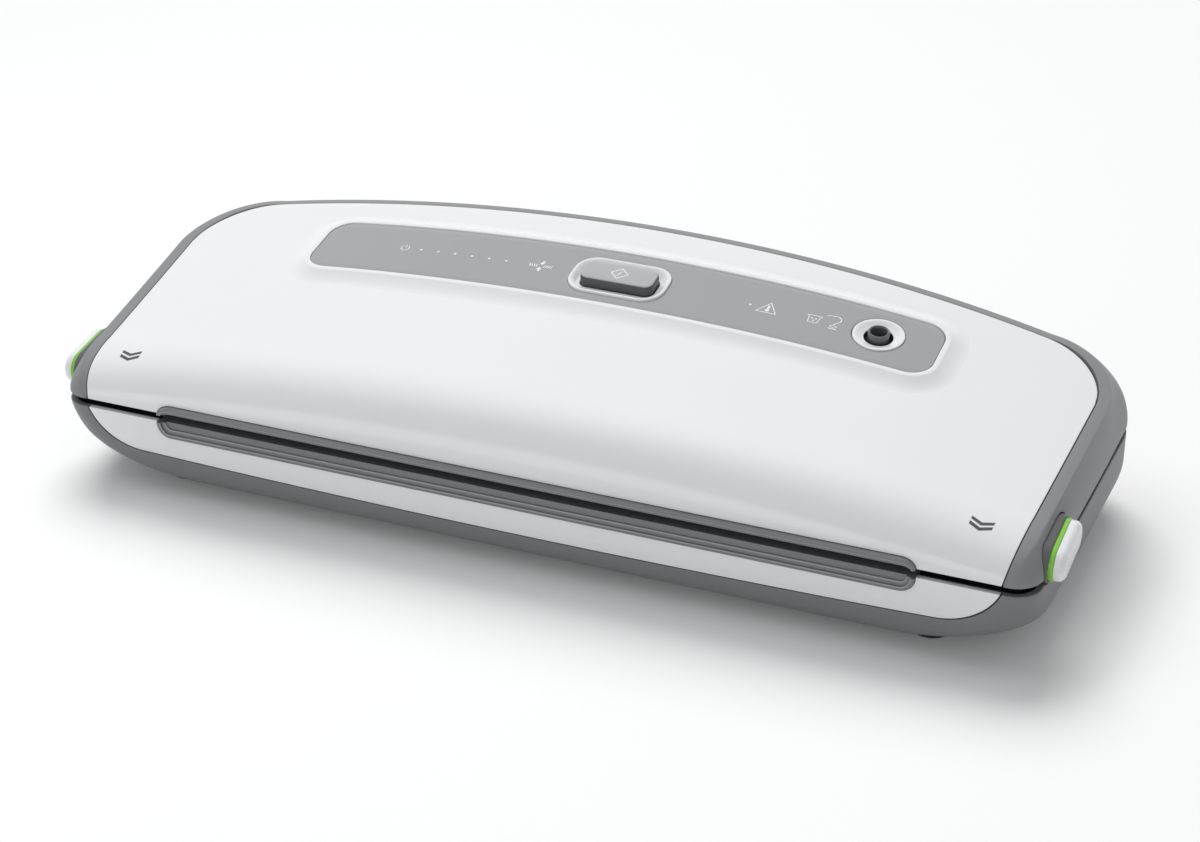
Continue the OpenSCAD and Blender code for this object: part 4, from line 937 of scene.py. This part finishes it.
# ---------------------------------------------------------------- hinge stands and feet
STAND = [(146.5, 22), (152.8, 22), (152.8, 37.5)]
STAND += [(149.5 + 3.2 * math.cos(a), 39.8 + 3.2 * math.sin(a))
          for a in np.linspace(-0.1, math.pi, 14)]
STAND += [(146.3, 39.0)]
FOOT = [(0.01, 0.35), (4.5, 0.35), (5.0, 0.0), (7.0, 0.0), (7.6, 0.2), (7.95, 0.8), (8, 1.6),
        (8, 2.9), (0.01, 3.0)]
foot_x = unit(np.cross(Z_DIR, (0.3, 0.5, 0.81)))
for sgn, side in SIDES:
    stand = link("hinge_stand_" + side,
                 *prism(STAND, sgn * HINGE_X - 6, sgn * HINGE_X + 6, "x"),
                 "base", "base_plastic", M_GREY)
    fix_normals(stand)
    bevel(stand, 0.35, 2, 40)
    for y, end in ((25, "front"), (BODY_D - 34, "rear")):
        turned_piece("rubber_foot_" + end + "_" + side, np.array((sgn * FOOT_X, y, 0)), foot_x,
                     np.cross(Z_DIR, foot_x), Z_DIR, FOOT, 48, "base", "black_foam", M_RUBBER,
                     replaces=["foot_" + end + "_" + side])

# ---------------------------------------------------------------- printed marks
# A place function puts a flat point (px, py) of a mark on the surface.
PRINT_T = 0.05                          # thickness of the print
PANEL_PRINT, KEY_PRINT = 2.09, 4.84     # its height above the lid's surface
MARK_HW = 184.5                         # half width of the cover at its marks


def stroke(points, width, place, closed=False):
    """Flat ribbon along a polyline."""
    pts = [np.array(p, float) for p in points]
    n = len(pts)
    left, right = [], []
    for i in range(n):
        before = pts[i - 1] if (i > 0 or closed) else pts[i]
        after = pts[(i + 1) % n] if (i < n - 1 or closed) else pts[i]
        here = pts[i]
        d1 = unit(here - before) if np.linalg.norm(here - before) > 1e-9 else unit(after - here)
        d2 = unit(after - here) if np.linalg.norm(after - here) > 1e-9 else d1
        d = unit(d1 + d2) if np.linalg.norm(d1 + d2) > 1e-6 else d1
        nrm = np.array([-d[1], d[0]])
        k = width / 2 / max(0.4, abs(float(np.dot(nrm, np.array([-d1[1], d1[0]])))))
        left.append(here + nrm * k)
        right.append(here - nrm * k)
    verts = [place(*p) for p in left] + [place(*p) for p in right]
    faces = [[i, (i + 1) % n, (i + 1) % n + n, i + n] for i in range(n if closed else n - 1)]
    return verts, faces


def disc(cx, cy, r, place, k=24):
    angles = [2 * math.pi * i / k for i in range(k)]
    verts = [place(cx + r * math.cos(a), cy + r * math.sin(a)) for a in angles]
    return verts, [list(range(k))]


def arrow_head(cx, cy, ang, w, h, place):
    """Filled triangle that points along ang."""
    c, s = math.cos(math.radians(ang)), math.sin(math.radians(ang))
    pts = [(h, 0), (0, w / 2), (0, -w / 2)]
    verts = [place(cx + px * c - py * s, cy + px * s + py * c) for px, py in pts]
    return verts, [[0, 1, 2]]


def print_piece(name, parts, body, mat, slot="panel_film"):
    verts, faces = [], []
    for v, f in parts:
        start = len(verts)
        verts += v
        faces += [[i + start for i in q] for q in f]
    ob = link(name, verts, faces, body, slot, mat, smooth=False)
    fix_normals(ob)
    m = ob.modifiers.new("thick", "SOLIDIFY")
    m.thickness = PRINT_T * MM
    m.offset = 0
    apply_mods(ob)


def on_panel(x0, y0):
    def place(px, py):
        x, y = x0 + px, y0 + py
        return np.array([x, y, top_z(x, y) + PANEL_PRINT])
    return place


def on_key(px, py):
    return np.array([px, PY + py, top_z(0, PY) + slope_y(PY) * py + KEY_PRINT])


def on_cover(x0, y0):
    """Place on the cover, which looks up the v that has the wanted y."""
    def place(px, py):
        u, y = (x0 + px) / MARK_HW, y0 + py
        lo, hi = 0.0, 1.6
        for _ in range(40):
            mid = (lo + hi) / 2
            if cover_pt(u, mid)[1] < y:
                lo = mid
            else:
                hi = mid
        return cover_pt(u, lo) - 0.06 * cover_in(u, lo)
    return place


ROW = 101.5                             # y of the panel's symbols
FINE = 0.36                             # width of their lines

# ring with a stroke
at = on_panel(-93, ROW)
marks = [stroke(arc(0, 0, 1.7, 125, 415, 28), FINE, at), stroke([(0, 0.5), (0, 2.2)], FINE, at)]
# row of dots
marks += [disc(0, 0, 0.55, on_panel(-85.8 + 7.44 * i, ROW)) for i in range(6)]
# strips pressed together by two arrows
at = on_panel(-33.8, ROW)
for way in (-1, 1):
    for i in range(4):
        x = 0.95 * i
        marks.append(stroke([(way * (1.4 + x), -0.9), (way * (1.9 + x), 0.9)], 0.42, at))
    marks.append(stroke([(0.4, way * 3.6), (0.1, way * 2.2)], 0.8, at))
    marks.append(arrow_head(0.1, way * 2.3, -90 * way, 2.2, 1.6, at))
# triangle with a thermometer
at = on_panel(61, ROW)
marks += [stroke([(0.3, 3.6), (-4.0, -2.9), (4.0, -2.9)], FINE, at, closed=True),
          stroke([(0.1, 1.7), (0.1, -1.0)], 0.95, at), disc(0.1, -1.4, 0.85, at)]
# canister with three dots
at = on_panel(79.6, ROW - 0.3)
marks += [stroke([(-2.3, 1.7), (-1.8, -2.3), (1.8, -2.3), (2.3, 1.7)], 0.34, at),
          stroke([(-2.9, 1.5), (-2.7, 2.2), (2.7, 2.2), (2.9, 1.5)], 0.34, at)]
marks += [disc(x, y, 0.38, at) for x, y in ((-0.8, 0.3), (0.8, 0.3), (0, -1.0))]
# hose with its tip
at = on_panel(88.2, ROW)
hose = [(-4.4, 3.6), (-3.2, 4.0)] + arc(-0.6, 2.2, 2.2, 120, -50, 12)
hose += [(-0.4, -0.9), (-0.2, -1.6)]
tip = [(-0.2 + 1.3 * math.cos(a), -2.3 + 0.7 * math.sin(a))
       for a in np.linspace(0, 2 * math.pi, 17)[:-1]]
marks += [stroke(hose, FINE, at), stroke(tip, 0.32, at, closed=True),
          stroke([(-1.9, -3.8), (1.5, -3.8)], 0.5, at)]
print_piece("panel_symbols", marks, "lid", M_PRINT)
print_piece("panel_light", [disc(0, 0, 0.6, on_panel(53.8, ROW))], "lid", M_LIGHT, slot="light")

# diamond with a short bar on the start key
print_piece("key_symbol", [
    stroke([(0, 3.4), (-3.5, 0), (0, -3.4), (3.5, 0)], 0.42, on_key, closed=True),
    stroke([(-0.35, -1.5), (0.35, 1.5)], 0.42, on_key)], "start_key", M_PRINT)

# double chevrons on the cover's front corners
MARK_X, MARK_Y, MARK_RISE, MARK_STEP, MARK_HALF = 169.7, 15.1, 0.42, -2.3, 0.65
for sgn, side in SIDES:
    at = on_cover(sgn * MARK_X, MARK_Y)
    chevrons = []
    for dy in (0.0, MARK_STEP):
        xs = (-4.15, -2, 0, 2, 4.15)
        edge = [at(x, MARK_RISE * abs(x) + dy + way * MARK_HALF) for way in (1, -1) for x in xs]
        chevrons.append((edge, [[i, i + 1, i + 6, i + 5] for i in range(4)]))
    print_piece("press_mark_" + side, chevrons, "lid", M_MARK, slot="dark_plastic")

# ---------------------------------------------------------------- materials of the CAD nodes
# base_deck and lid_pan take the dark colour so that the split between lid and base reads black:
# painted shade in the gap
CAD_MATERIALS = (
    (M_DARK_AND_SHADE, "base_deck drip_tray lid_pan seal_bar_carrier release_slide_left "
             "release_slide_right pump_head power_components tact_switch eccentric"),
    (M_FOAM, "lower_gasket upper_gasket"),
    (M_RUBBER, "pressure_strip"),
    (M_TAPE, "ptfe_tape"),
    (M_BOARD, "power_board control_board"),
    (M_COPPER, "transformer"),
    (M_TUBE, "vacuum_tube port_tube"),
    (M_LIGHT, "indicator_leds"),
    (M_WHITE, "latch_hook_left latch_hook_right piston"),
    (M_STEEL, "heating_strip base_screws lid_screws hinge_pin_left hinge_pin_right "
              "latch_pin_left latch_pin_right latch_spring_left latch_spring_right "
              "pump_bracket pump_motor motor_shaft button_spring"),
)
for mat, names in CAD_MATERIALS:
    for name in names.split():
        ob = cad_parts[name]
        for place in ob.material_slots:
            place.material = mat
        if not ob.material_slots:
            ob.data.materials.append(mat)


# ---------------------------------------------------------------- floor, background, lamps
# From here on in metres.
def seen_directly(n, l):
    """1 for camera, glossy and transmission rays, and 0 for the rays that light the object."""
    paths = n.new("ShaderNodeLightPath")
    first, second = n.new("ShaderNodeMath"), n.new("ShaderNodeMath")
    first.operation = second.operation = "MAXIMUM"
    l.new(paths.outputs["Is Camera Ray"], first.inputs[0])
    l.new(paths.outputs["Is Glossy Ray"], first.inputs[1])
    l.new(first.outputs[0], second.inputs[0])
    l.new(paths.outputs["Is Transmission Ray"], second.inputs[1])
    return second.outputs[0]


def make_floor():
    """Plain pale floor that looks a little brighter than it lights, and keeps the shadow."""
    mat = bpy.data.materials.new("floor")
    n, l = nodes_of(mat)
    b = n["Principled BSDF"]
    b.inputs["Base Color"].default_value = (0.95, 0.95, 0.95, 1)
    b.inputs["Roughness"].default_value = 0.9
    b.inputs["Specular IOR Level"].default_value = 0.1
    lift = n.new("ShaderNodeEmission")
    lift.inputs["Color"].default_value = (1, 1, 1, 1)
    gain = n.new("ShaderNodeMath")
    gain.operation = "MULTIPLY"
    gain.inputs[1].default_value = 0.07
    l.new(seen_directly(n, l), gain.inputs[0])
    l.new(gain.outputs[0], lift.inputs["Strength"])
    both = n.new("ShaderNodeAddShader")
    l.new(b.outputs["BSDF"], both.inputs[0])
    l.new(lift.outputs["Emission"], both.inputs[1])
    l.new(both.outputs["Shader"], n["Material Output"].inputs["Surface"])
    size, z = 6.0, -0.0002
    me = bpy.data.meshes.new("floor")
    me.from_pydata([(-size, -size, z), (size, -size, z), (size, size, z), (-size, size, z)],
                   [], [[0, 1, 2, 3]])
    me.materials.append(mat)
    ob = bpy.data.objects.new("floor", me)
    bpy.context.scene.collection.objects.link(ob)


def make_world():
    """White where it is seen, and a dimmer, slightly cool fill for the object."""
    world = bpy.data.worlds.new("studio")
    bpy.context.scene.world = world
    n, l = nodes_of(world)
    fill = n["Background"]
    fill.inputs["Color"].default_value = (0.97, 0.985, 1.0, 1)
    fill.inputs["Strength"].default_value = 0.34
    white = n.new("ShaderNodeBackground")
    white.inputs["Color"].default_value = (1, 1, 1, 1)
    white.inputs["Strength"].default_value = 1.0
    mix = n.new("ShaderNodeMixShader")
    l.new(seen_directly(n, l), mix.inputs["Fac"])
    l.new(fill.outputs["Background"], mix.inputs[1])
    l.new(white.outputs["Background"], mix.inputs[2])
    l.new(mix.outputs["Shader"], n["World Output"].inputs["Surface"])


def lamp(name, kind, loc, target, energy, glossy):
    data = bpy.data.lights.new(name, kind)
    data.energy = energy
    ob = bpy.data.objects.new(name, data)
    ob.visible_glossy = glossy
    bpy.context.scene.collection.objects.link(ob)
    ob.location = loc
    ob.rotation_euler = (Vector(target) - Vector(loc)).to_track_quat("-Z", "Y").to_euler()
    return data


def area(name, loc, target, size, size_y, energy, glossy=True):
    data = lamp(name, "AREA", loc, target, energy, glossy)
    data.shape = "RECTANGLE"
    data.size = size
    data.size_y = size_y


make_floor()
make_world()
# The key and the box above would leave a glare on the cover, so gloss doesn't show them.
key = lamp("key", "SUN", (-0.3, 0.58, 0.9), (0, 0, 0), 1.68, glossy=False)
key.angle = math.radians(40)
area("top_box", (-0.36, 0.08, 1.1), (0, -0.02, 0.05), 1.5, 0.34, 3.6, glossy=False)
area("front_fill", (-0.35, -1.5, 0.25), (0, 0, 0.04), 1.5, 0.3, 2.2)
